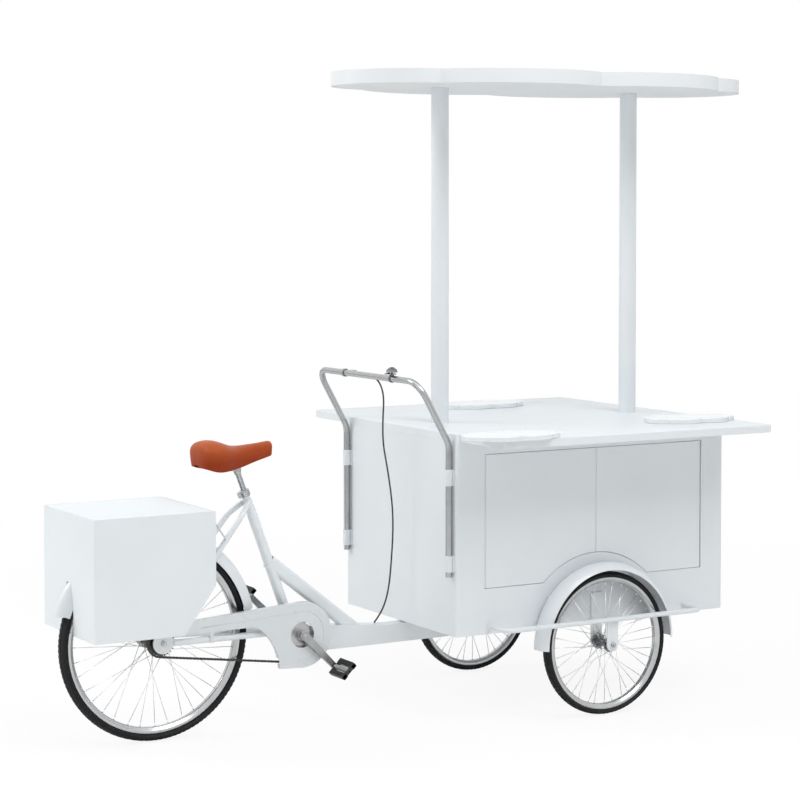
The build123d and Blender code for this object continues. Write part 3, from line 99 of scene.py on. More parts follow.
def effect(name, inputs):
    """An empty shader group with a place and named inputs: the group, its values and where its results go."""
    group = bpy.data.node_groups.new(name, "ShaderNodeTree")
    several = {3: "NodeSocketVector", 4: "NodeSocketColor"}
    for label, value in {"Place": (0, 0, 0), **inputs}.items():
        kind = several[len(value)] if isinstance(value, tuple) else "NodeSocketFloat"
        group.interface.new_socket(label, in_out="INPUT", socket_type=kind).default_value = value
    group.interface.new_socket("Colour", in_out="OUTPUT", socket_type="NodeSocketColor")
    group.interface.new_socket("Roughness", in_out="OUTPUT", socket_type="NodeSocketFloat")
    group.interface.new_socket("Height", in_out="OUTPUT", socket_type="NodeSocketFloat")
    return group, group.nodes.new("NodeGroupInput").outputs, group.nodes.new("NodeGroupOutput").inputs


def put(tree, kind, feeds, **settings):
    """Adds a shader node. feeds gives each input a value or another node's output."""
    made = tree.nodes.new(kind)
    for key, value in settings.items():
        setattr(made, key, value)
    for key, value in feeds.items():
        if isinstance(value, bpy.types.NodeSocket):
            tree.links.new(value, made.inputs[key])
        else:
            made.inputs[key].default_value = value
    return made


def spread(tree, value, low, high, to_low, to_high):
    """value, drawn out from low..high to to_low..to_high."""
    feeds = {"Value": value, "From Min": low, "From Max": high, "To Min": to_low, "To Max": to_high}
    return put(tree, "ShaderNodeMapRange", feeds).outputs[0]


def tinted(tree, share, under, over):
    """Colour under, covered by colour over in proportion to share."""
    return put(tree, "ShaderNodeMix", {0: share, 6: under, 7: over}, data_type="RGBA").outputs[2]


def reckon(tree, how, *values):
    """One sum on numbers that change over the surface."""
    return put(tree, "ShaderNodeMath", dict(enumerate(values)), operation=how).outputs[0]


def noise(tree, place, scale, detail, roughness=0.5, distortion=0.0):
    """Cloudy noise over a place."""
    feeds = {"Vector": place, "Scale": scale, "Detail": detail}
    feeds.update({"Roughness": roughness, "Distortion": distortion})
    return put(tree, "ShaderNodeTexNoise", feeds).outputs["Fac"]


def deliver(group, given, gives, colour, haze, height):
    """Sends out a group's results; haze says where its smudges dull the gloss."""
    group.links.new(colour, gives["Colour"])
    group.links.new(reckon(group, "MULTIPLY_ADD", haze, given["Smudge"], given["Gloss"]), gives["Roughness"])
    group.links.new(height, gives["Height"])


# The sprayed coat: faint clouds in the white, smudges in the gloss and a fine orange peel
sprayed, given, gives = effect(
    "sprayed_coat",
    {
        "Colour": (0.84, 0.85, 0.86, 1),
        "Cloud": (0.80, 0.81, 0.83, 1),
        "Peel size": 330.0,
        "Gloss": 0.34,
        "Smudge": 0.14,
    },
)
clouds = noise(sprayed, given["Place"], 2.6, 4.0, 0.55)
smudges = noise(sprayed, given["Place"], 17.0, 6.0, 0.62)
specks = put(sprayed, "ShaderNodeTexVoronoi", {"Vector": given["Place"], "Scale": 46.0})
peel = noise(sprayed, given["Place"], given["Peel size"], 2.0)
speck_grey = (0.55, 0.55, 0.54, 1)
clouded = tinted(sprayed, spread(sprayed, clouds, 0.38, 0.66, 0.0, 1.0), given["Colour"], given["Cloud"])
speck_share = spread(sprayed, specks.outputs["Distance"], 0.0, 0.035, 0.22, 0.0)
speckled = tinted(sprayed, speck_share, clouded, speck_grey)
deliver(sprayed, given, gives, speckled, spread(sprayed, smudges, 0.36, 0.68, 0.0, 1.0), peel)


def coated(name, group, values, bump, bump_depth, **shader):
    """A material whose colour, gloss and relief come from a group; the rest is set on the shader."""
    made = bpy.data.materials.new(name)
    made.use_nodes = True
    tree = made.node_tree
    surface = tree.nodes["Principled BSDF"]
    place = put(tree, "ShaderNodeTexCoord", {}).outputs["Object"]
    coat = tree.nodes.new("ShaderNodeGroup")
    coat.node_tree = group
    tree.links.new(place, coat.inputs["Place"])
    for label, value in values.items():
        coat.inputs[label].default_value = value
    tree.links.new(coat.outputs["Colour"], surface.inputs["Base Color"])
    tree.links.new(coat.outputs["Roughness"], surface.inputs["Roughness"])
    feeds = {"Strength": bump, "Distance": bump_depth, "Height": coat.outputs["Height"]}
    relief = put(tree, "ShaderNodeBump", feeds)
    tree.links.new(relief.outputs["Normal"], surface.inputs["Normal"])
    for label, value in shader.items():
        surface.inputs[label.replace("_", " ")].default_value = value
    return made


board_white = coated(
    "sprayed_board",
    sprayed,
    {
        "Colour": (0.765, 0.797, 0.824, 1),
        "Cloud": (0.745, 0.777, 0.806, 1),
        "Peel size": 260.0,
        "Gloss": 0.40,
    },
    0.10,
    0.0004,
    Coat_Weight=0.12,
    Coat_Roughness=0.25,
)
eased("cart_box", board_white, edge=0.0005)
eased("cart_floor", board_white, edge=0.0008)
eased("cart_shelf", board_white, edge=0.0008)

# Counter top: a thicker board laid over the box, flush with it at both ends, with a wing
# out over each front wheel. It is glued down, filled and sprayed together with the box.
eased("counter_top", board_white, edge=0.0005)

# Doors: two leaves of the same board, arched over the wheel, hung on steel pins in their
# outer edges, with a shadow gap all round.
eased("door_rear", board_white, edge=0.0009)
eased("door_front", board_white, edge=0.0009)

# Cloud boards: three cut-outs of white acrylic with rounded edges, laid flat on the counter
# to carry goods.
acrylic_white = coated(
    "white_acrylic",
    sprayed,
    {
        "Colour": (0.79, 0.82, 0.84, 1),
        "Cloud": (0.775, 0.805, 0.827, 1),
        "Peel size": 90.0,
        "Gloss": 0.16,
        "Smudge": 0.12,
    },
    0.03,
    0.0004,
    Coat_Weight=0.3,
    Coat_Roughness=0.08,
)
eased("cloud_boards", acrylic_white, edge=0.0025, rings=3)

# Canopy posts: two round steel tubes, powder coated white, stood in sockets under the
# counter and carrying the canopy.
metal_white = coated(
    "white_powder_coat",
    sprayed,
    {
        "Colour": (0.765, 0.797, 0.824, 1),
        "Cloud": (0.745, 0.777, 0.806, 1),
        "Peel size": 620.0,
        "Gloss": 0.28,
        "Smudge": 0.12,
    },
    0.12,
    0.0003,
    Coat_Weight=0.25,
    Coat_Roughness=0.12,
)
eased("canopy_posts", metal_white, edge=0.0006)
eased("post_sockets", metal_white, edge=0.0010)

# Canopy: a tray of moulded sheet in the outline of a cloud, closed underneath by a flat
# panel that is let into the rim.
sheet_white = coated(
    "moulded_sheet",
    sprayed,
    {
        "Colour": (0.775, 0.80, 0.82, 1),
        "Cloud": (0.755, 0.78, 0.80, 1),
        "Peel size": 150.0,
        "Gloss": 0.42,
        "Smudge": 0.16,
    },
    0.06,
    0.0005,
    Coat_Weight=0.08,
    Coat_Roughness=0.3,
)
eased("canopy", sheet_white, edge=0.0018, rings=3)
eased("canopy_panel", sheet_white, edge=0.0010)

# Turntable plate and kingpin: bare turned steel, greased. The plate bears the box and the pin
# joins it to the frame, so that the box swings to steer.
brushed, given, gives = effect(
    "brushed_metal",
    {
        "Colour": (0.55, 0.55, 0.56, 1),
        "Tarnish": (0.40, 0.39, 0.38, 1),
        "Draw": (900.0, 900.0, 40.0),
        "Gloss": 0.25,
        "Smudge": 0.15,
    },
)
drawn = put(brushed, "ShaderNodeVectorMath", {0: given["Place"], 1: given["Draw"]}, operation="MULTIPLY")
lines = noise(brushed, drawn.outputs[0], 1.0, 4.0, 0.6)
stains = noise(brushed, given["Place"], 34.0, 5.0, 0.6)
stain_share = spread(brushed, stains, 0.42, 0.74, 0.0, 0.8)
stained = tinted(brushed, stain_share, given["Colour"], given["Tarnish"])
deliver(brushed, given, gives, stained, spread(brushed, lines, 0.3, 0.7, 0.0, 1.0), lines)
turned_steel = coated(
    "turned_steel",
    brushed,
    {"Colour": (0.56, 0.56, 0.57, 1), "Tarnish": (0.40, 0.39, 0.37, 1), "Gloss": 0.26, "Smudge": 0.2},
    0.15,
    0.0002,
    Metallic=1.0,
)
eased("turntable_plate", turned_steel, edge=0.0006)
eased("kingpin", turned_steel, edge=0.0010)

# Fork plates and front axles: laser-cut plates, one bolted to the box wall and one welded
# under the guard bar at each wheel, with a threaded steel axle and a nut through both.
eased("fork_plates", metal_white, edge=0.0012)
eased("front_axles", turned_steel, edge=0.0007)

# Guard bars: steel rod, powder coated white, bent round the outside of each front wheel and
# fixed to the box wall at both ends.
eased("guard_bars", metal_white, edge=0.0)

# Door pins: short lengths of bright rod in the outer edge of each leaf, top and bottom, on
# which it swings.
eased("door_pins", turned_steel, edge=0.0)

# Front fenders: sheet steel rolled to a rounded channel over the upper half of each wheel,
# edges hemmed, held off the box wall by two short welded tabs.
front_axle_low, front_axle_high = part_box("front_axles")
front_x = (front_axle_low.x + front_axle_high.x) / 2
front_z = 0.250
front_y = 0.433
box_side = -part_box("cart_box")[0].y
sheet = 0.0022
hem = 0.0030
fender_r, fender_half, fender_drop = 0.2830, 0.0425, 0.0215
tab_turns = radians(40), radians(140)
tab_reach, tab_half, tab_edge = 0.256, 0.009, 0.002
tab_inset, tab_bite = 0.043, 0.006
fold = radians(40)    # rolled sheet stays smooth up to this angle


def sweep_round(mesh, centre, loop, start, arc, steps, dent=None):
    """Turns a loop of (radius, across) points round an axle along Y; a part turn gets capped ends."""
    full = arc > 2 * pi - 1e-6
    rings = []
    for step in range(steps if full else steps + 1):
        turn = start + arc * step / steps
        ring = []
        for number, (radius, across) in enumerate(loop):
            reach = radius - (dent(step, number) if dent else 0.0)
            at = (centre[0] + reach * cos(turn), centre[1] + across, centre[2] + reach * sin(turn))
            ring.append(mesh.verts.new(at))
        rings.append(ring)
    count = len(loop)
    for step in range(steps):
        here, there = rings[step], rings[(step + 1) % len(rings)]
        for number in range(count):
            after = (number + 1) % count
            mesh.faces.new((here[number], here[after], there[after], there[number])).smooth = True
    if not full:
        mesh.faces.new(rings[0])
        mesh.faces.new(reversed(rings[-1]))
    return rings[-1]


def block(mesh, low, high, edge):
    """A rectangular lug between two corners with eased edges."""
    made = bmesh.ops.create_cube(mesh, size=1.0)["verts"]
    for corner in made:
        corner.co = [(a + b) / 2 + c * (b - a) for a, b, c in zip(low, high, corner.co)]
    edges = list(dict.fromkeys(e for corner in made for e in corner.link_edges))
    bmesh.ops.bevel(mesh, geom=edges, offset=edge, segments=2, affect="EDGES", profile=0.5)


def fender_loop(radius, half, drop, points):
    """Section of a rolled fender: a crown that falls away to hemmed edges, and the sheet's lower side."""
    outer = []
    for step in range(points + 1):
        share = -1 + 2 * step / points
        outer.append((radius - drop * abs(share) ** 2.5, half * share))
    inner = [(r - sheet * (1 - 0.4 * abs(y / half)), y * (1 - sheet / half)) for r, y in reversed(outer)]
    hem_far = [(radius - drop - 0.0026, half - 0.0004), (radius - drop - hem, half - 0.0022)]
    hem_near = [(r, -y) for r, y in reversed(hem_far)]
    return outer + hem_far + inner + hem_near


mesh = bmesh.new()
for hand in (-1, 1):
    loop = fender_loop(fender_r, fender_half, fender_drop, points=18)
    sweep_round(mesh, (front_x, hand * front_y, front_z), loop, start=0.0, arc=pi, steps=96)
    for turn in tab_turns:
        tab_x = front_x + tab_reach * cos(turn)
        tab_z = front_z + tab_reach * sin(turn)
        tab_end = hand * (front_y - tab_inset + tab_bite)
        inner, outer = sorted((hand * box_side, tab_end))
        low = (tab_x - tab_half, inner, tab_z - tab_half)
        high = (tab_x + tab_half, outer, tab_z + tab_half)
        block(mesh, low, high, tab_edge)
bmesh.ops.recalc_face_normals(mesh, faces=mesh.faces)
fenders = show("front_fenders_rolled", mesh, metal_white, "front_fenders")
fenders.data.set_sharp_from_angle(angle=fold)
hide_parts("front_fenders")

# Tyres: black rubber, moulded as a rounded casing with a shallow block tread, dusty in patches,
# and held on the rim by their beads.
rubbery, given, gives = effect(
    "dusty_rubber",
    {
        "Colour": (0.0058, 0.0061, 0.0075, 1),
        "Dust": (0.019, 0.020, 0.024, 1),
        "Grain size": 900.0,
        "Gloss": 0.48,
        "Smudge": 0.25,
    },
)
patches = noise(rubbery, given["Place"], 28.0, 6.0, 0.65)
grain = noise(rubbery, given["Place"], given["Grain size"], 3.0)
dust_share = spread(rubbery, patches, 0.46, 0.80, 0.0, 0.7)
dusted = tinted(rubbery, dust_share, given["Colour"], given["Dust"])
deliver(rubbery, given, gives, dusted, spread(rubbery, patches, 0.35, 0.7, 0.0, 1.0), grain)
tyre_black = coated("tyre_rubber", rubbery, {}, 0.25, 0.0004, Specular_IOR_Level=0.25)

tyre_half_loop = (
    (0.0190, 0.0128), (0.0188, 0.0146), (0.0160, 0.0180), (0.0130, 0.0207), (0.0100, 0.0218),
    (0.0072, 0.0207), (0.0050, 0.0186), (0.0034, 0.0160), (0.0020, 0.0128), (0.0010, 0.0094),
    (0.0026, 0.0086), (0.0026, 0.0066), (0.0005, 0.0058), (0.0000, 0.0024),
)
shoulder = (6, 7, 8, 9)    # points of the half loop that are notched
centre_band = (12, 13)
shoulder_notch, centre_notch = 0.0018, 0.0012
bead = 0.0190


def tyre(name, centre, radius, tall, wide, steps):
    """A treaded tyre: shoulder blocks and a centre rib, each notched across at an even pitch."""
    near = [(radius - tall * deep, wide * across) for deep, across in tyre_half_loop]
    loop = near + [(r, -y) for r, y in reversed(near)]

    def notch(step, number):
        side = number if number < len(near) else len(loop) - 1 - number
        if side in shoulder:
            return shoulder_notch if (step + (number >= len(near)) * 2) % 4 == 0 else 0.0
        if side in centre_band:
            return centre_notch if step % 6 == 3 else 0.0
        return 0.0

    mesh = bmesh.new()
    sweep_round(mesh, centre, loop, 0.0, 2 * pi, steps, notch)
    bmesh.ops.recalc_face_normals(mesh, faces=mesh.faces)
    piece = show(name + "_treaded", mesh, tyre_black, name)
    piece.data.set_sharp_from_angle(angle=radians(38))
    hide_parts(name)


# Rims: extruded aluminium, polished, with hooked edges, a flat brake track and a narrower
# inner wall, rolled to a ring.
polished_rim = coated(
    "polished_rim",
    brushed,
    {
        "Colour": (0.52, 0.53, 0.54, 1),
        "Tarnish": (0.46, 0.47, 0.48, 1),
        "Draw": (60.0, 900.0, 60.0),
        "Gloss": 0.12,
        "Smudge": 0.12,
    },
    0.05,
    0.0001,
    Metallic=1.0,
)


def rim(name, centre, radius, deep):
    """An extruded rim with hooked edges, a brake track and a rounded inner wall."""
    near = [
        (radius - 0.0040, 0.0110), (radius - 0.0036, 0.0126), (radius - 0.0006, 0.0130),
        (radius, 0.0138), (radius - 0.0004, 0.0148), (radius - 0.0022, 0.0150),
        (radius - 0.0090, 0.0146), (radius - 0.0100, 0.0136), (radius - deep + 0.0055, 0.0112),
        (radius - deep + 0.0022, 0.0098), (radius - deep + 0.0004, 0.0070), (radius - deep, 0.0030),
    ]
    loop = near + [(r, -y) for r, y in reversed(near)]
    mesh = bmesh.new()
    sweep_round(mesh, centre, loop, 0.0, 2 * pi, 160)
    bmesh.ops.recalc_face_normals(mesh, faces=mesh.faces)
    piece = show(name + "_extruded", mesh, polished_rim, name)
    piece.data.set_sharp_from_angle(angle=radians(50))
    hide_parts(name)


# Hubs and spokes: turned hub shells with two flanges; 36 plated steel wires laced over each
# other from the flanges to plated nipples in the rim.
hub_grey = coated(
    "hub_shell",
    brushed,
    {
        "Colour": (0.22, 0.22, 0.23, 1),
        "Tarnish": (0.13, 0.13, 0.13, 1),
        "Draw": (900.0, 60.0, 900.0),
        "Gloss": 0.26,
        "Smudge": 0.2,
    },
    0.10,
    0.0002,
    Metallic=1.0,
)
plated = coated(
    "plated_steel",
    brushed,
    {
        "Colour": (0.84, 0.84, 0.85, 1),
        "Tarnish": (0.72, 0.72, 0.72, 1),
        "Draw": (300.0, 300.0, 300.0),
        "Gloss": 0.22,
        "Smudge": 0.12,
    },
    0.05,
    0.0001,
    Metallic=1.0,
)
axle_bore = 0.00506
rim_gap = 0.0003
spokes = 36
lace = radians(60)
wire, wire_short = 0.00105, 0.002
nipple, nipple_sunk, nipple_out = 0.0021, 0.001, 0.0115
head_r, head_half = 0.0019, 0.0022
hole_in, hole_off = 0.0045, 0.0020    # a spoke's head, in from the flange's edge and off its middle
seat_at, seat_off = 0.0040, 0.0016    # its nipple, across from the rim's middle


def rod(mesh, start, end, radius, sides, end_radius=None):
    """A straight round rod, closed at both ends."""
    start, end = Vector(start), Vector(end)
    along = (end - start).normalized()
    aside = along.orthogonal().normalized()
    beside = along.cross(aside)
    rings = []
    for at, reach in ((start, radius), (end, radius if end_radius is None else end_radius)):
        turns = [2 * pi * k / sides for k in range(sides)]
        rings.append([mesh.verts.new(at + reach * (cos(t) * aside + sin(t) * beside)) for t in turns])
    for k in range(sides):
        after = (k + 1) % sides
        mesh.faces.new((rings[0][k], rings[0][after], rings[1][after], rings[1][k])).smooth = True
    mesh.faces.new(reversed(rings[0]))
    mesh.faces.new(rings[1])


def hub(name, centre, half_loop, flange, flange_at, rim_inside):
    """A hub shell turned from half_loop, and its laced spokes with their nipples."""
    mesh = bmesh.new()
    bore = [(axle_bore, half_loop[-1][1]), (axle_bore, half_loop[0][1])]
    sweep_round(mesh, centre, list(half_loop) + bore, 0.0, 2 * pi, 48)
    bmesh.ops.recalc_face_normals(mesh, faces=mesh.faces)
    shell = show(name + "_shell", mesh, hub_grey, name)
    shell.data.set_sharp_from_angle(angle=radians(32))
    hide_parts(name)
    wires, nipples = bmesh.new(), bmesh.new()
    head = Vector((0, head_half, 0))
    for number in range(spokes):
        side = 1 if number % 2 == 0 else -1
        lead = 1 if number % 4 < 2 else -1
        turn = radians(40 * (number // 4) + 10 * (side < 0) + 20 * (lead < 0))
        ends = []
        for radius, angle, across in (
            (flange - hole_in, turn, side * (flange_at + hole_off * lead)),
            (rim_inside, turn + lead * lace, side * (seat_at + seat_off * lead)),
        ):
            x, z = centre[0] + radius * cos(angle), centre[2] - radius * sin(angle)
            ends.append(Vector((x, centre[1] + across, z)))
        inward = (ends[0] - ends[1]).normalized()
        rod(wires, ends[0], ends[1] + inward * wire_short, wire, 6)
        rod(wires, ends[0] - head, ends[0] + head, head_r, 8)
        base, tip = ends[1] - inward * nipple_sunk, ends[1] + inward * nipple_out
        rod(nipples, base, tip, nipple, 8, nipple * 0.75)
    show(name + "_spokes", wires, plated, name)
    show(name + "_nipples", nipples, plated, name)


front_hub_loop = (
    (0.0088, 0.0450), (0.0098, 0.0440), (0.0098, 0.0405), (0.0125, 0.0395), (0.0140, 0.0372),
    (0.0262, 0.0360), (0.0270, 0.0352), (0.0270, 0.0330), (0.0262, 0.0322), (0.0160, 0.0312),
    (0.0140, 0.0280), (0.0130, 0.0180), (0.0126, 0.0000), (0.0130, -0.0180), (0.0140, -0.0280),
    (0.0160, -0.0312), (0.0262, -0.0322), (0.0270, -0.0330), (0.0270, -0.0352), (0.0262, -0.0360),
    (0.0140, -0.0372), (0.0125, -0.0395), (0.0098, -0.0405), (0.0098, -0.0440), (0.0088, -0.0450),
)
rear_hub_loop = (
    (0.0088, 0.0695), (0.0100, 0.0680), (0.0100, 0.0600), (0.0150, 0.0560), (0.0170, 0.0440),
    (0.0330, 0.0418), (0.0340, 0.0408), (0.0340, 0.0386), (0.0330, 0.0376), (0.0205, 0.0362),
    (0.0180, 0.0320), (0.0172, 0.0180), (0.0168, 0.0000), (0.0172, -0.0180), (0.0180, -0.0320),
    (0.0205, -0.0362), (0.0330, -0.0376), (0.0340, -0.0386), (0.0340, -0.0408), (0.0330, -0.0418),
    (0.0160, -0.0440), (0.0158, -0.0620), (0.0100, -0.0640), (0.0100, -0.0685), (0.0088, -0.0695),
)
rear_axle_low, rear_axle_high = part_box("rear_axle")
rear_x = (rear_axle_low.x + rear_axle_high.x) / 2
rear_z = 0.336
# Radius, the tyre's height and width against its drawn half loop, the rim's depth, the hub, its
# flanges' radius and place, and the steps round the tyre
front_wheel = (front_z, 1.0, 1.0, 0.018, front_hub_loop, 0.027, 0.0341, 360)
rear_wheel = (rear_z, 1.353, 1.18, 0.020, rear_hub_loop, 0.034, 0.0397, 480)
for name, centre, (radius, tall, wide, deep, loop, flange, flange_at, steps) in (
    ("front_right", (front_x, -front_y, front_z), front_wheel),
    ("front_left", (front_x, front_y, front_z), front_wheel),
    ("rear", (rear_x, 0.0, rear_z), rear_wheel),
):
    rim_radius = radius - tall * bead - rim_gap
    tyre(name + "_tyre", centre, radius, tall, wide, steps)
    rim(name + "_rim", centre, rim_radius, deep)
    hub(name + "_hub", centre, loop, flange, flange_at, rim_radius - deep)

# Handlebar: one length of chromed steel tube bent to a tall arch. Four white clamps, each a
# sleeve with a web and a foot, hold its legs to the box's rear wall.
chromed = coated(
    "chrome_plate",
    brushed,
    {
        "Colour": (0.46, 0.47, 0.48, 1),
        "Tarnish": (0.40, 0.41, 0.42, 1),
        "Draw": (40.0, 40.0, 40.0),
        "Gloss": 0.10,
        "Smudge": 0.06,
    },
    0.01,
    0.0001,
    Metallic=1.0,
)
eased("handlebar", chromed, edge=0.0)
eased("handlebar_clamps", metal_white, edge=0.0007)

# Brake perch and lever: forged alloy. The perch is clamped round the left of the crossbar, and
# the lever turns on a pin between its cheeks.
forged_alloy = coated(
    "forged_alloy",
    brushed,
    {
        "Colour": (0.42, 0.42, 0.43, 1),
        "Tarnish": (0.32, 0.32, 0.32, 1),
        "Draw": (200.0, 200.0, 200.0),
        "Gloss": 0.24,
        "Smudge": 0.18,
    },
    0.08,
    0.0002,
    Metallic=1.0,
)
eased("brake_perch", forged_alloy, edge=0.0003)
eased("brake_lever", forged_alloy, edge=0.0012)

# Brake cable: black-sheathed cable, 6 mm thick, that leaves the perch along the bar, hangs
# in a long bow behind the box and drops into the stop on the frame's beam.
grip_x = front_x - 0.710
beam_bend = front_x - 0.640
bracket_x = rear_x + 0.5175
beam_bend_z, beam_foot_z = 0.3075, 0.336
stop_behind = 0.038
beam_stop = beam_bend_z + (beam_foot_z - beam_bend_z) / (beam_bend - bracket_x) * stop_behind
cable_r = 0.003
route = (
    (0.023, 0.1347, 1.1810), (0.023, 0.0850, 1.1815), (0.022, 0.0100, 1.1810), (0.017, -0.0620, 1.1700),
    (0.015, -0.1010, 1.1200), (0.025, -0.0740, 1.0350), (0.039, -0.0500, 0.9500), (0.052, -0.0580, 0.8650),
    (0.061, -0.0680, 0.7800), (0.068, -0.0700, 0.7000), (0.073, -0.0600, 0.6180), (0.070, -0.0550, 0.5370),
    (0.064, -0.0530, 0.4600), (0.052, -0.0480, 0.3950), (0.039, -0.0280, 0.3450),
    (0.032, -0.0010, beam_stop + 0.0046),
)
line = bpy.data.curves.new("cable_line", "CURVE")
line.dimensions = "3D"
line.resolution_u = 8
hang = line.splines.new("NURBS")
hang.points.add(len(route) - 1)
for point, (ahead, across, up) in zip(hang.points, route):
    point.co = (grip_x + ahead, across, up, 1.0)
hang.order_u = 3
hang.use_endpoint_u = True
holder = bpy.data.objects.new("cable_line", line)
bpy.context.scene.collection.objects.link(holder)
bpy.context.view_layer.update()
traced = bpy.data.meshes.new_from_object(holder)
cable_path = [v.co.copy() for v in traced.vertices]
bpy.data.objects.remove(holder)
bpy.data.curves.remove(line)
bpy.data.meshes.remove(traced)


def hose(mesh, path, radius, sides):
    """A round tube that follows a path of points, closed at both ends."""
    aside = (path[1] - path[0]).orthogonal().normalized()
    rings = []
    for number, at in enumerate(path):
        along = (path[min(number + 1, len(path) - 1)] - path[max(number - 1, 0)]).normalized()
        aside = (aside - along * aside.dot(along)).normalized()
        beside = along.cross(aside)
        turns = [2 * pi * k / sides for k in range(sides)]
        rings.append([mesh.verts.new(at + radius * (cos(t) * aside + sin(t) * beside)) for t in turns])
    for here, there in zip(rings, rings[1:]):
        for k in range(sides):
            after = (k + 1) % sides
            mesh.faces.new((here[k], here[after], there[after], there[k])).smooth = True
    mesh.faces.new(reversed(rings[0]))
    mesh.faces.new(rings[-1])


moulded, given, gives = effect(
    "moulded_black",
    {
        "Colour": (0.018, 0.018, 0.019, 1),
        "Bloom": (0.05, 0.05, 0.052, 1),
        "Spark size": 1500.0,
        "Gloss": 0.38,
        "Smudge": 0.2,
    },
)
blooms = noise(moulded, given["Place"], 60.0, 5.0, 0.6)
spark = put(moulded, "ShaderNodeTexVoronoi", {"Vector": given["Place"], "Scale": given["Spark size"]})
bloom_share = spread(moulded, blooms, 0.45, 0.75, 0.0, 0.7)
bloomed = tinted(moulded, bloom_share, given["Colour"], given["Bloom"])
deliver(moulded, given, gives, bloomed, bloom_share, spark.outputs["Distance"])
sheath_black = coated(
    "cable_sheath",
    moulded,
    {"Colour": (0.03, 0.03, 0.031, 1), "Gloss": 0.34, "Spark size": 2600.0},
    0.08,
    0.0001,
)
mesh = bmesh.new()
hose(mesh, cable_path, cable_r, 12)
data = bpy.data.meshes.new("brake_cable_sheath")
mesh.to_mesh(data)
mesh.free()
data.materials.append(sheath_black)
cable = bpy.data.objects.new("brake_cable_sheath", data)
bpy.context.scene.collection.objects.link(cable)
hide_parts("brake_cable")
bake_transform(cable)

# Bell: clamp band and dome in smoked chrome, with a thumb lever in black plastic, held on the
# right of the crossbar.
smoked_chrome = coated(
    "smoked_chrome",
    brushed,
    {
        "Colour": (0.24, 0.25, 0.26, 1),
        "Tarnish": (0.19, 0.20, 0.20, 1),
        "Draw": (60.0, 60.0, 60.0),
        "Gloss": 0.20,
        "Smudge": 0.1,
    },
    0.02,
    0.0001,
    Metallic=1.0,
)
moulded_black = coated("moulded_black_plastic", moulded, {}, 0.2, 0.0002)
eased("bell_clamp", smoked_chrome, edge=0.0006)
eased("bell_dome", smoked_chrome, edge=0.0006)
eased("bell_lever", moulded_black, edge=0.0005)

# Rear frame: welded steel tubes, powder coated white: a deep hollow beam from the steering
# sleeve to the bottom bracket, seat tube, brace, chain stays and two curved seat stays.
eased("main_beam", metal_white, edge=0.0006)
eased("seat_tube", metal_white, edge=0.0008)
eased("frame_brace", metal_white, edge=0.0)
eased("chain_stays", metal_white, edge=0.0005)
eased("seat_stays", metal_white, edge=0.0)
eased("rear_axle", turned_steel, edge=0.0007)

# Rear fender: the same rolled steel channel, from behind the seat tube to the tail behind
# the box, bolted to the seat stays by two lugs.
rear_fender_r, rear_fender_half, rear_fender_drop = 0.3707, 0.0342, 0.0409
fender_nose, fender_tail = 12, 163
lug_reach, lug_turn = 0.333, radians(53.64)
lug_half, lug_edge = 0.007, 0.0015
lug_from, lug_to = 0.031, 0.049
mesh = bmesh.new()
loop = fender_loop(rear_fender_r, rear_fender_half, rear_fender_drop, points=16)
fender_arc = radians(fender_tail - fender_nose)
tail_ring = sweep_round(mesh, (rear_x, 0.0, rear_z), loop, radians(fender_nose), fender_arc, 110)
tail_up = rear_fender_r * sin(radians(fender_tail))    # the tail is cut level at this height
for corner, (radius, across) in zip(tail_ring, loop):
    corner.co = (rear_x - sqrt(radius**2 - tail_up**2), across, rear_z + tail_up)
lug_x = rear_x + lug_reach * cos(lug_turn)
lug_z = rear_z + lug_reach * sin(lug_turn)
for hand in (-1, 1):
    inner, outer = sorted((hand * lug_from, hand * lug_to))
    low = (lug_x - lug_half, inner, lug_z - lug_half)
    high = (lug_x + lug_half, outer, lug_z + lug_half)
    block(mesh, low, high, lug_edge)
bmesh.ops.recalc_face_normals(mesh, faces=mesh.faces)
fender = show("rear_fender_rolled", mesh, metal_white, "rear_fender")
fender.data.set_sharp_from_angle(angle=fold)
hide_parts("rear_fender")

# Chain: half-inch bushing chain of waisted steel plates, rollers and riveted pins, oiled
# black; it runs round the chainring, along the open lower run and round the sprocket.
bracket_z = 0.314
chain_y = -0.056
half_inch = 0.0127
ring_teeth, sprocket_teeth = 48, 24
plate_r, plate_waist, plate_t = 0.0040, 0.0030, 0.001
inner_off, outer_off = 0.0022, 0.0033
roller_r, roller_half = 0.0038, Vector((0, 0.0017, 0))
rivet_r, rivet_half = 0.0017, Vector((0, 0.0042, 0))
ring_r = ring_teeth * half_inch / (2 * pi)
sprocket_r = sprocket_teeth * half_inch / (2 * pi)
run_x, run_z = bracket_x - rear_x, bracket_z - rear_z
centres = hypot(run_x, run_z)
lean = atan2(run_z, run_x)
wrap = acos((ring_r - sprocket_r) / centres)
free_run = sqrt(centres**2 - (ring_r - sprocket_r) ** 2)
ring_arc = 2 * (pi - wrap)
sprocket_arc = 2 * wrap
chain_length = 2 * free_run + ring_arc * ring_r + sprocket_arc * sprocket_r
links = 2 * round(chain_length / half_inch / 2)


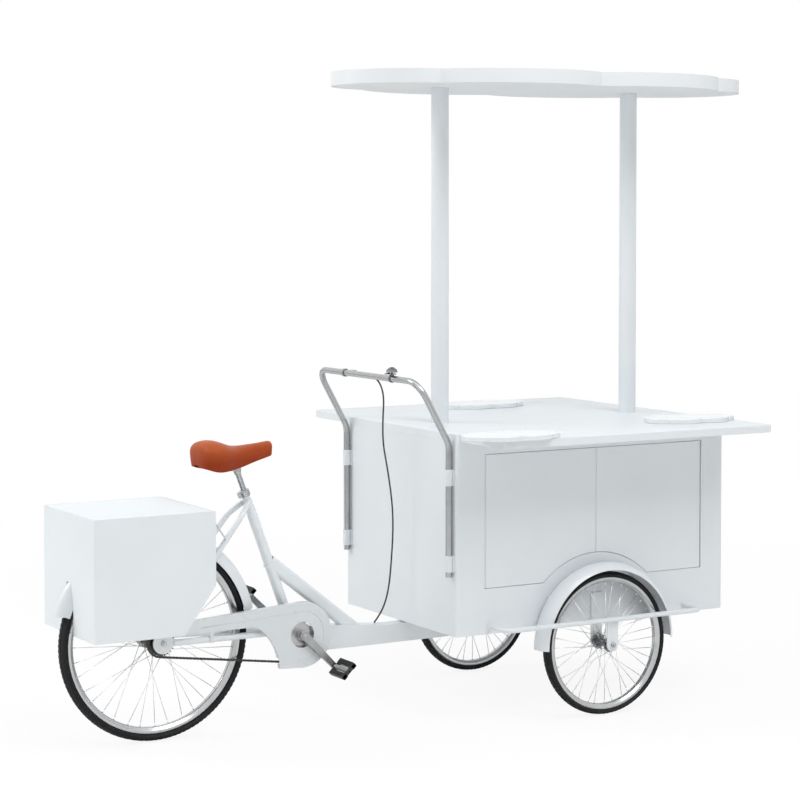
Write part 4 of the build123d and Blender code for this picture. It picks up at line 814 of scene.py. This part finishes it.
def pin_at(along):
    """Place of a chain pin, measured from where the upper run meets the chainring."""
    along = along % chain_length
    start = lean + pi - wrap
    finish = start - ring_arc
    if along <= ring_arc * ring_r:
        turn = start - along / ring_r
        return Vector((bracket_x + ring_r * cos(turn), chain_y, bracket_z + ring_r * sin(turn)))
    along -= ring_arc * ring_r
    ring_end = Vector((bracket_x + ring_r * cos(finish), chain_y, bracket_z + ring_r * sin(finish)))
    sprocket_end = Vector((rear_x + sprocket_r * cos(finish), chain_y, rear_z + sprocket_r * sin(finish)))
    if along <= free_run:
        return ring_end.lerp(sprocket_end, along / free_run)
    along -= free_run
    if along <= sprocket_arc * sprocket_r:
        turn = finish - along / sprocket_r
        return Vector((rear_x + sprocket_r * cos(turn), chain_y, rear_z + sprocket_r * sin(turn)))
    along -= sprocket_arc * sprocket_r
    sprocket_top = Vector((rear_x + sprocket_r * cos(start), chain_y, rear_z + sprocket_r * sin(start)))
    ring_top = Vector((bracket_x + ring_r * cos(start), chain_y, bracket_z + ring_r * sin(start)))
    return sprocket_top.lerp(ring_top, along / free_run)


def side_plate(mesh, a, b, across, thick):
    """A waisted link plate round two pins, thick along Y."""
    along = (b - a).normalized()
    up = Vector((-along.z, 0, along.x))
    rim_line = []
    for end, facing in ((b, 1), (a, -1)):
        for turn in (-75, -45, -15, 15, 45, 75):
            reach = plate_r * (cos(radians(turn)) * facing * along + sin(radians(turn)) * facing * up)
            rim_line.append(end + reach)
        rim_line.append((a + b) / 2 + up * facing * plate_waist)
    faces = []
    for offset in (across - thick / 2, across + thick / 2):
        faces.append([mesh.verts.new(p + Vector((0, offset, 0))) for p in rim_line])
    count = len(rim_line)
    for k in range(count):
        after = (k + 1) % count
        mesh.faces.new((faces[0][k], faces[0][after], faces[1][after], faces[1][k]))
    mesh.faces.new(reversed(faces[0]))
    mesh.faces.new(faces[1])


oiled_steel = coated(
    "oiled_chain_steel",
    brushed,
    {
        "Colour": (0.075, 0.073, 0.070, 1),
        "Tarnish": (0.03, 0.028, 0.026, 1),
        "Draw": (500.0, 500.0, 500.0),
        "Gloss": 0.3,
        "Smudge": 0.2,
    },
    0.1,
    0.0001,
    Metallic=0.9,
)
mesh = bmesh.new()
pitch = chain_length / links
for number in range(links):
    a, b = pin_at(number * pitch), pin_at((number + 1) * pitch)
    offset = inner_off if number % 2 == 0 else outer_off
    for hand in (-1, 1):
        side_plate(mesh, a, b, hand * offset, plate_t)
    rod(mesh, a - roller_half, a + roller_half, roller_r, 10)
    rod(mesh, a - rivet_half, a + rivet_half, rivet_r, 8)
bmesh.ops.recalc_face_normals(mesh, faces=mesh.faces)
chain = show("chain_linked", mesh, oiled_steel, "chain")
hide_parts("chain")

# Chainring, sprocket and spindle: stamped steel, the chainring and the spindle bright, the
# sprocket oiled black like the chain.
bright_steel = coated(
    "bright_stamping",
    brushed,
    {
        "Colour": (0.52, 0.52, 0.53, 1),
        "Tarnish": (0.38, 0.38, 0.38, 1),
        "Draw": (300.0, 300.0, 300.0),
        "Gloss": 0.22,
        "Smudge": 0.18,
    },
    0.08,
    0.0002,
    Metallic=1.0,
)
eased("chainring", bright_steel, edge=0.0004)
eased("rear_sprocket", oiled_steel, edge=0.0003)
eased("crank_spindle", bright_steel, edge=0.0008)

# Crank arms: cold-forged alloy, one on each end of the spindle, half a turn apart, with the
# pedal's spindle at its end.
eased("crank_arms", forged_alloy, edge=0.0022, rings=3)

# Pedals: a black moulded platform with two ridged treads, on a plain grey barrel that is
# closed by a cap at its outer end.
barrel_grey = coated(
    "pedal_barrel",
    moulded,
    {"Colour": (0.36, 0.37, 0.38, 1), "Bloom": (0.28, 0.28, 0.29, 1), "Gloss": 0.32},
    0.1,
    0.0002,
)
cap_white = coated(
    "pedal_cap",
    moulded,
    {"Colour": (0.72, 0.73, 0.74, 1), "Bloom": (0.6, 0.6, 0.6, 1), "Gloss": 0.3},
    0.1,
    0.0002,
)
crank_l = 0.165
pedal_from, pedal_w, pedal_half = 0.096, 0.095, 0.0330
pedal_tilt = radians(45)
tread_from, tread_half = 0.0135, 0.0085
ridges, ridge_first, ridge_pitch, ridge_w, ridge_half = 8, 0.006, 0.0115, 0.006, 0.0110
end_bar_w, end_bar_half = 0.009, 0.0075
barrel_from, barrel_to, barrel_r = 0.004, 0.091, 0.0092
cap_from, cap_to, cap_r, cap_tip_r = 0.0905, 0.0949, 0.0075, 0.0062
for name, hand, arm in (("pedal_right", -1, radians(-45)), ("pedal_left", 1, radians(135))):
    eye = Vector((bracket_x + crank_l * cos(arm), hand * pedal_from, bracket_z + crank_l * sin(arm)))
    flat = Vector((cos(pedal_tilt), 0, sin(pedal_tilt)))
    out = Vector((0, hand, 0))
    up = out.cross(flat)

    def slab(mesh, low, high, edge):
        """A lug in the pedal's own directions: along the platform, across its thickness, outwards."""
        before = set(mesh.verts)
        block(mesh, low, high, edge)
        for corner in set(mesh.verts) - before:
            corner.co = eye + flat * corner.co.x + up * corner.co.y + out * corner.co.z

    mesh = bmesh.new()
    for side in (-1, 1):
        inner, outer = sorted((side * tread_from, side * pedal_half))
        slab(mesh, (inner, -tread_half, 0.0), (outer, tread_half, pedal_w), 0.002)
        for ridge in range(ridges):
            at = ridge_first + ridge * ridge_pitch
            slab(mesh, (inner + 0.0015, -ridge_half, at), (outer - 0.0008, ridge_half, at + ridge_w), 0.0012)
    for low, high in ((0.0, end_bar_w), (pedal_w - end_bar_w, pedal_w)):
        slab(mesh, (-pedal_half, -end_bar_half, low), (pedal_half, end_bar_half, high), 0.002)
    bmesh.ops.recalc_face_normals(mesh, faces=mesh.faces)
    platform = show(name + "_platform", mesh, moulded_black, name)
    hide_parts(name)
    mesh = bmesh.new()
    rod(mesh, eye + out * barrel_from, eye + out * barrel_to, barrel_r, 24)
    bmesh.ops.recalc_face_normals(mesh, faces=mesh.faces)
    barrel = show(name + "_barrel", mesh, barrel_grey, name)
    barrel.data.set_sharp_from_angle(angle=fold)
    mesh = bmesh.new()
    rod(mesh, eye + out * cap_from, eye + out * cap_to, cap_r, 20, cap_tip_r)
    bmesh.ops.recalc_face_normals(mesh, faces=mesh.faces)
    cap = show(name + "_cap", mesh, cap_white, name)
    cap.data.set_sharp_from_angle(angle=fold)

# Chain case: a moulded white tray over the chainring and the upper run, with a raised rib
# that follows its outline, screwed to the seat tube and the chain stay.
case_white = coated(
    "moulded_case",
    sprayed,
    {
        "Colour": (0.685, 0.715, 0.735, 1),
        "Cloud": (0.665, 0.695, 0.717, 1),
        "Peel size": 500.0,
        "Gloss": 0.26,
        "Smudge": 0.14,
    },
    0.1,
    0.0003,
    Coat_Weight=0.15,
    Coat_Roughness=0.15,
)
eased("chain_case", case_white, edge=0.0009)
case_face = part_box("chain_case")[0].y
rib_bow, rib_r, rib_proud = 0.083, 0.0016, 0.0012
rib = [
    Vector((bracket_x - 0.380, case_face, bracket_z + 0.060)),
    Vector((bracket_x - 0.200, case_face, bracket_z + 0.071)),
]
for step in range(33):
    turn = radians(96 - 6.2 * step)
    rib.append(Vector((bracket_x + rib_bow * cos(turn), case_face, bracket_z + rib_bow * sin(turn))))
mesh = bmesh.new()
hose(mesh, rib, rib_r, 10)
for corner in mesh.verts:
    corner.co.y = max(corner.co.y, case_face - rib_proud)
show("chain_case_rib", mesh, case_white, "chain_case")

# Rear box: sprayed board again, two pods either side of the wheel joined above it, with a
# hinged lid let into the top edge; thin rods steady its front wall from the seat stays.
eased("rear_box", board_white, edge=0.0005)
eased("rear_box_lid", board_white, edge=0.0009)
eased("lid_pins", turned_steel, edge=0.0)
eased("box_struts", plated, edge=0.0)

# Seat clamp, post and saddle clamp: a chromed post held in the seat tube by a bolted collar,
# with a plain steel clamp under the saddle.
eased("seat_clamp", bright_steel, edge=0.0004)
eased("seat_post", chromed, edge=0.0005)
eased("saddle_clamp", bright_steel, edge=0.0004)

# Saddle: brown leather drawn wet over a padded shell, wide behind and narrow at the nose,
# its skirt turned in under the edge and glued to a black base. Painted shade darkens its
# lower part and the turned-in strip.
tanned, given, gives = effect(
    "tanned_leather",
    {
        "Colour": (0.49, 0.108, 0.030, 1),
        "Deep": (0.30, 0.037, 0.005, 1),
        "Rubbed": (0.54, 0.145, 0.052, 1),
        "Pore size": 620.0,
        "Gloss": 0.38,
        "Smudge": 0.18,
        "Skirt": 0.885,
    },
)
dye = noise(tanned, given["Place"], 15.0, 6.0, 0.6)
rub = noise(tanned, given["Place"], 7.0, 3.0)
feeds = {"Vector": given["Place"], "Scale": given["Pore size"]}
pores = put(tanned, "ShaderNodeTexVoronoi", feeds, feature="DISTANCE_TO_EDGE")
creases = noise(tanned, given["Place"], 210.0, 5.0, distortion=0.8)
dyed = tinted(tanned, spread(tanned, dye, 0.35, 0.7, 0.0, 0.4), given["Colour"], given["Deep"])
rubbed = tinted(tanned, spread(tanned, rub, 0.5, 0.75, 0.0, 0.7), dyed, given["Rubbed"])
# Painted shade: towards the bottom the leather turns to the deep colour, so its top reads lit and its lower
# part shaded; the same deep colour also darkens dye blotches and pores
height = put(tanned, "ShaderNodeSeparateXYZ", {"Vector": given["Place"]}).outputs["Z"]
above = reckon(tanned, "SUBTRACT", height, given["Skirt"])
shade_towards_skirt = tinted(tanned, spread(tanned, above, 0.03, 0.10, 1.0, 0.0), rubbed, given["Deep"])
pore_share = spread(tanned, pores.outputs["Distance"], 0.0, 0.06, 0.35, 0.0)
pored = tinted(tanned, pore_share, shade_towards_skirt, given["Deep"])
pebble = spread(tanned, pores.outputs["Distance"], 0.0, 0.22, 0.0, 1.0)
creased = reckon(tanned, "MULTIPLY_ADD", creases, 0.6, pebble)
deliver(tanned, given, gives, pored, spread(tanned, dye, 0.3, 0.7, 0.0, 1.0), creased)
saddle_leather = coated(
    "saddle_leather",
    tanned,
    {},
    0.16,
    0.0004,
    Specular_IOR_Level=0.14,
    Sheen_Weight=0.10,
    Sheen_Roughness=0.35,
    Sheen_Tint=(1.0, 0.86, 0.82, 1),
)
# Painted shade: the turned-in strip is a darker, glossless copy of the saddle leather, standing in for the
# shade under the saddle's edge
shaded_turned_in = coated(
    "turned_in_leather",
    tanned,
    {
        "Colour": (0.22, 0.030, 0.005, 1),
        "Deep": (0.12, 0.016, 0.003, 1),
        "Rubbed": (0.22, 0.030, 0.005, 1),
        "Gloss": 0.8,
    },
    0.16,
    0.0004,
    Specular_IOR_Level=0.0,
)

saddle_x = bracket_x - 0.2100
saddle_z = 0.8803
saddle_keys = (
    (-0.151, 0.076, 0.102, 0.021),
    (-0.095, 0.088, 0.108, 0.006),
    (-0.020, 0.058, 0.086, 0.012),
    (0.060, 0.032, 0.089, 0.031),
    (0.127, 0.022, 0.097, 0.048),
)


def between(keys, at, column):
    """Smooth value of a column of keys at a place along the first column."""
    spot = max(i for i in range(len(keys) - 1) if keys[i][0] <= at + 1e-9)
    before, here, there, after = (keys[max(0, min(len(keys) - 1, spot + k))] for k in (-1, 0, 1, 2))
    share = (at - here[0]) / (there[0] - here[0])
    width = there[0] - here[0]
    lean_here = (there[column] - before[column]) / (there[0] - before[0]) * width
    lean_there = (after[column] - here[column]) / (after[0] - here[0]) * width
    square, cube = share**2, share**3
    return (
        (2 * cube - 3 * square + 1) * here[column]
        + (cube - 2 * square + share) * lean_here
        + (3 * square - 2 * cube) * there[column]
        + (cube - square) * lean_there
    )


def swell(share):
    """How full a rounded end is at a share of the way in from its tip."""
    return (1 - (1 - share) ** 2.6) ** 0.385


stations = 46
tail, nose = saddle_keys[0][0], saddle_keys[-1][0]
tail_round, nose_round = 0.026, 0.014
base_from = saddle_x - 0.06    # the black base shows ahead of here
mesh = bmesh.new()
sections = []
for number in range(stations + 1):
    at = tail + (nose - tail) * (1 - cos(pi * number / stations)) / 2
    half, high, low = (between(saddle_keys, at, column) for column in (1, 2, 3))
    tail_share = min(1.0, max(0.0, (at - tail) / tail_round))
    nose_share = min(1.0, max(0.0, (nose - at) / nose_round))
    nose_full = swell(nose_share)
    full = swell(tail_share) * nose_full
    middle = low + 0.45 * (high - low)
    half *= 0.25 + 0.75 * full
    high = middle + (high - middle) * (0.35 + 0.65 * full)
    low = middle + (low - middle) * (0.70 + 0.30 * nose_full)
    crown = min(1.4 * (0.25 * half + 0.005), 0.55 * (high - low))
    line = []
    for step in range(13):
        turn = pi / 2 * step / 12
        line.append((half * sin(turn) ** 0.92, high - crown * (1 - cos(turn))))
    for step in range(1, 9):
        share = step / 8
        line.append((half * (1 - 0.20 * share**1.6), high - crown + share * (low - high + crown)))
    line.append((half * 0.76, low - 0.0004))
    line.append((half * 0.70, low + 0.0012 * tail_share))
    line.append((half * 0.66, low + 0.0002 + 0.0058 * tail_share))
    x = saddle_x + at
    ring = [mesh.verts.new((x, y, saddle_z + z)) for y, z in line]
    ring += [mesh.verts.new((x, -y, saddle_z + z)) for y, z in reversed(line[1:])]
    sections.append(ring)
count = len(sections[0])
for here, there in zip(sections, sections[1:]):
    for k in range(count):
        after = (k + 1) % count
        face = mesh.faces.new((here[k], here[after], there[after], there[k]))
        face.smooth = True
        # The strip underneath takes the darker painted-shade leather, except its middle ahead of base_from,
        # which is the black base
        if count // 2 - 2 <= k <= count // 2 + 2:
            face.material_index = 1 if k == count // 2 and here[0].co.x > base_from else 2
for ring in (sections[0], list(reversed(sections[-1]))):
    mesh.faces.new(ring).smooth = True
bmesh.ops.recalc_face_normals(mesh, faces=mesh.faces)
saddle = show("saddle_leather_cover", mesh, saddle_leather, "saddle")
saddle.data.materials.append(moulded_black)
saddle.data.materials.append(shaded_turned_in)
softened = saddle.modifiers.new("softened", "SUBSURF")
softened.levels = 1
softened.render_levels = 1
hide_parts("saddle")

# Studio: a wide white floor and backdrop, a pale sky and four soft boxes. The one high on the
# right lets the counter's wing shade the doors; the floor keeps a faint shadow near the cart
# and is plain white farther out. The camera looks in almost level from the right rear.
floor_reach = 60.0
white = (1, 1, 1, 1)
floor_mesh = bmesh.new()
bmesh.ops.create_grid(floor_mesh, x_segments=1, y_segments=1, size=floor_reach)
floor_data = bpy.data.meshes.new("studio_floor")
floor_mesh.to_mesh(floor_data)
floor_mesh.free()
floor_white = bpy.data.materials.new("studio_floor_white")
floor_white.use_nodes = True
tree = floor_white.node_tree
painted = tree.nodes["Principled BSDF"]
painted.inputs["Base Color"].default_value = (0.96, 0.94, 0.925, 1)
painted.inputs["Roughness"].default_value = 0.9
painted.inputs["Specular IOR Level"].default_value = 0.0
seen = put(tree, "ShaderNodeLightPath", {})
glow = put(tree, "ShaderNodeEmission", {"Color": white, "Strength": 1.0})
place = put(tree, "ShaderNodeNewGeometry", {})
away = put(tree, "ShaderNodeVectorMath", {0: place.outputs["Position"]}, operation="LENGTH")
whiten = spread(tree, away.outputs["Value"], 1.2, 5.0, 0.88, 1.0)
lift = reckon(tree, "MULTIPLY", seen.outputs["Is Camera Ray"], whiten)
mixed = put(tree, "ShaderNodeMixShader", {0: lift, 1: painted.outputs["BSDF"], 2: glow.outputs[0]})
tree.links.new(mixed.outputs[0], tree.nodes["Material Output"].inputs["Surface"])
floor_data.materials.append(floor_white)
floor = bpy.data.objects.new("studio_floor", floor_data)
floor.location.z = -0.0005
bpy.context.scene.collection.objects.link(floor)

surround = bpy.data.worlds.new("studio_white")
surround.use_nodes = True
tree = surround.node_tree
ambient = tree.nodes["Background"]
toward = put(tree, "ShaderNodeTexCoord", {})
height = put(tree, "ShaderNodeSeparateXYZ", {0: toward.outputs["Generated"]})
sky = put(tree, "ShaderNodeValToRGB", {0: height.outputs["Z"]})
sky.color_ramp.elements[0].color = (1.0, 0.975, 0.96, 1)
sky.color_ramp.elements[1].color = (0.90, 0.985, 1.0, 1)
tree.links.new(sky.outputs["Color"], ambient.inputs["Color"])
ambient.inputs["Strength"].default_value = 0.54
backdrop = put(tree, "ShaderNodeBackground", {"Color": white, "Strength": 1.0})
seen = put(tree, "ShaderNodeLightPath", {})
first = reckon(tree, "MAXIMUM", seen.outputs["Is Camera Ray"], seen.outputs["Is Glossy Ray"])
either = reckon(tree, "MAXIMUM", first, seen.outputs["Is Transmission Ray"])
mixed = put(tree, "ShaderNodeMixShader", {0: either, 1: ambient.outputs[0], 2: backdrop.outputs[0]})
tree.links.new(mixed.outputs[0], tree.nodes["World Output"].inputs["Surface"])
bpy.context.scene.world = surround

for name, spot, aim, width, power in (
    ("overhead_softbox", (0.0, -1.0, 6.5), (0.0, 0.0, 0.8), 6.0, 91.0),
    ("right_high_softbox", (0.6, -4.5, 6.0), (0.1, 0.0, 0.5), 3.0, 150.0),
    ("rear_high_softbox", (-5.0, 3.0, 4.5), (0.0, 0.0, 0.8), 3.0, 165.0),
    ("rear_right_softbox", (-6.5, -3.0, 3.2), (-0.2, 0.0, 0.9), 4.0, 25.0),
):
    lamp = bpy.data.lights.new(name, "AREA")
    lamp.shape = "SQUARE"
    lamp.size = width
    lamp.energy = power
    holder = bpy.data.objects.new(name, lamp)
    holder.location = spot
    holder.rotation_euler = (Vector(aim) - Vector(spot)).to_track_quat("-Z", "Y").to_euler()
    bpy.context.scene.collection.objects.link(holder)

view = bpy.data.cameras.new("photo_view")
view.lens = 101.45
view.sensor_width = 36.0
view.shift_y = -0.1225
view.clip_end = 200.0
camera = bpy.data.objects.new("photo_view", view)
camera.location = (front_x - 4.5581, -6.8202, 1.7813)
camera.rotation_euler = (radians(87.5), 0, radians(-30.30))
bpy.context.scene.collection.objects.link(camera)
bpy.context.scene.camera = camera
bpy.context.scene.view_settings.view_transform = "Standard"
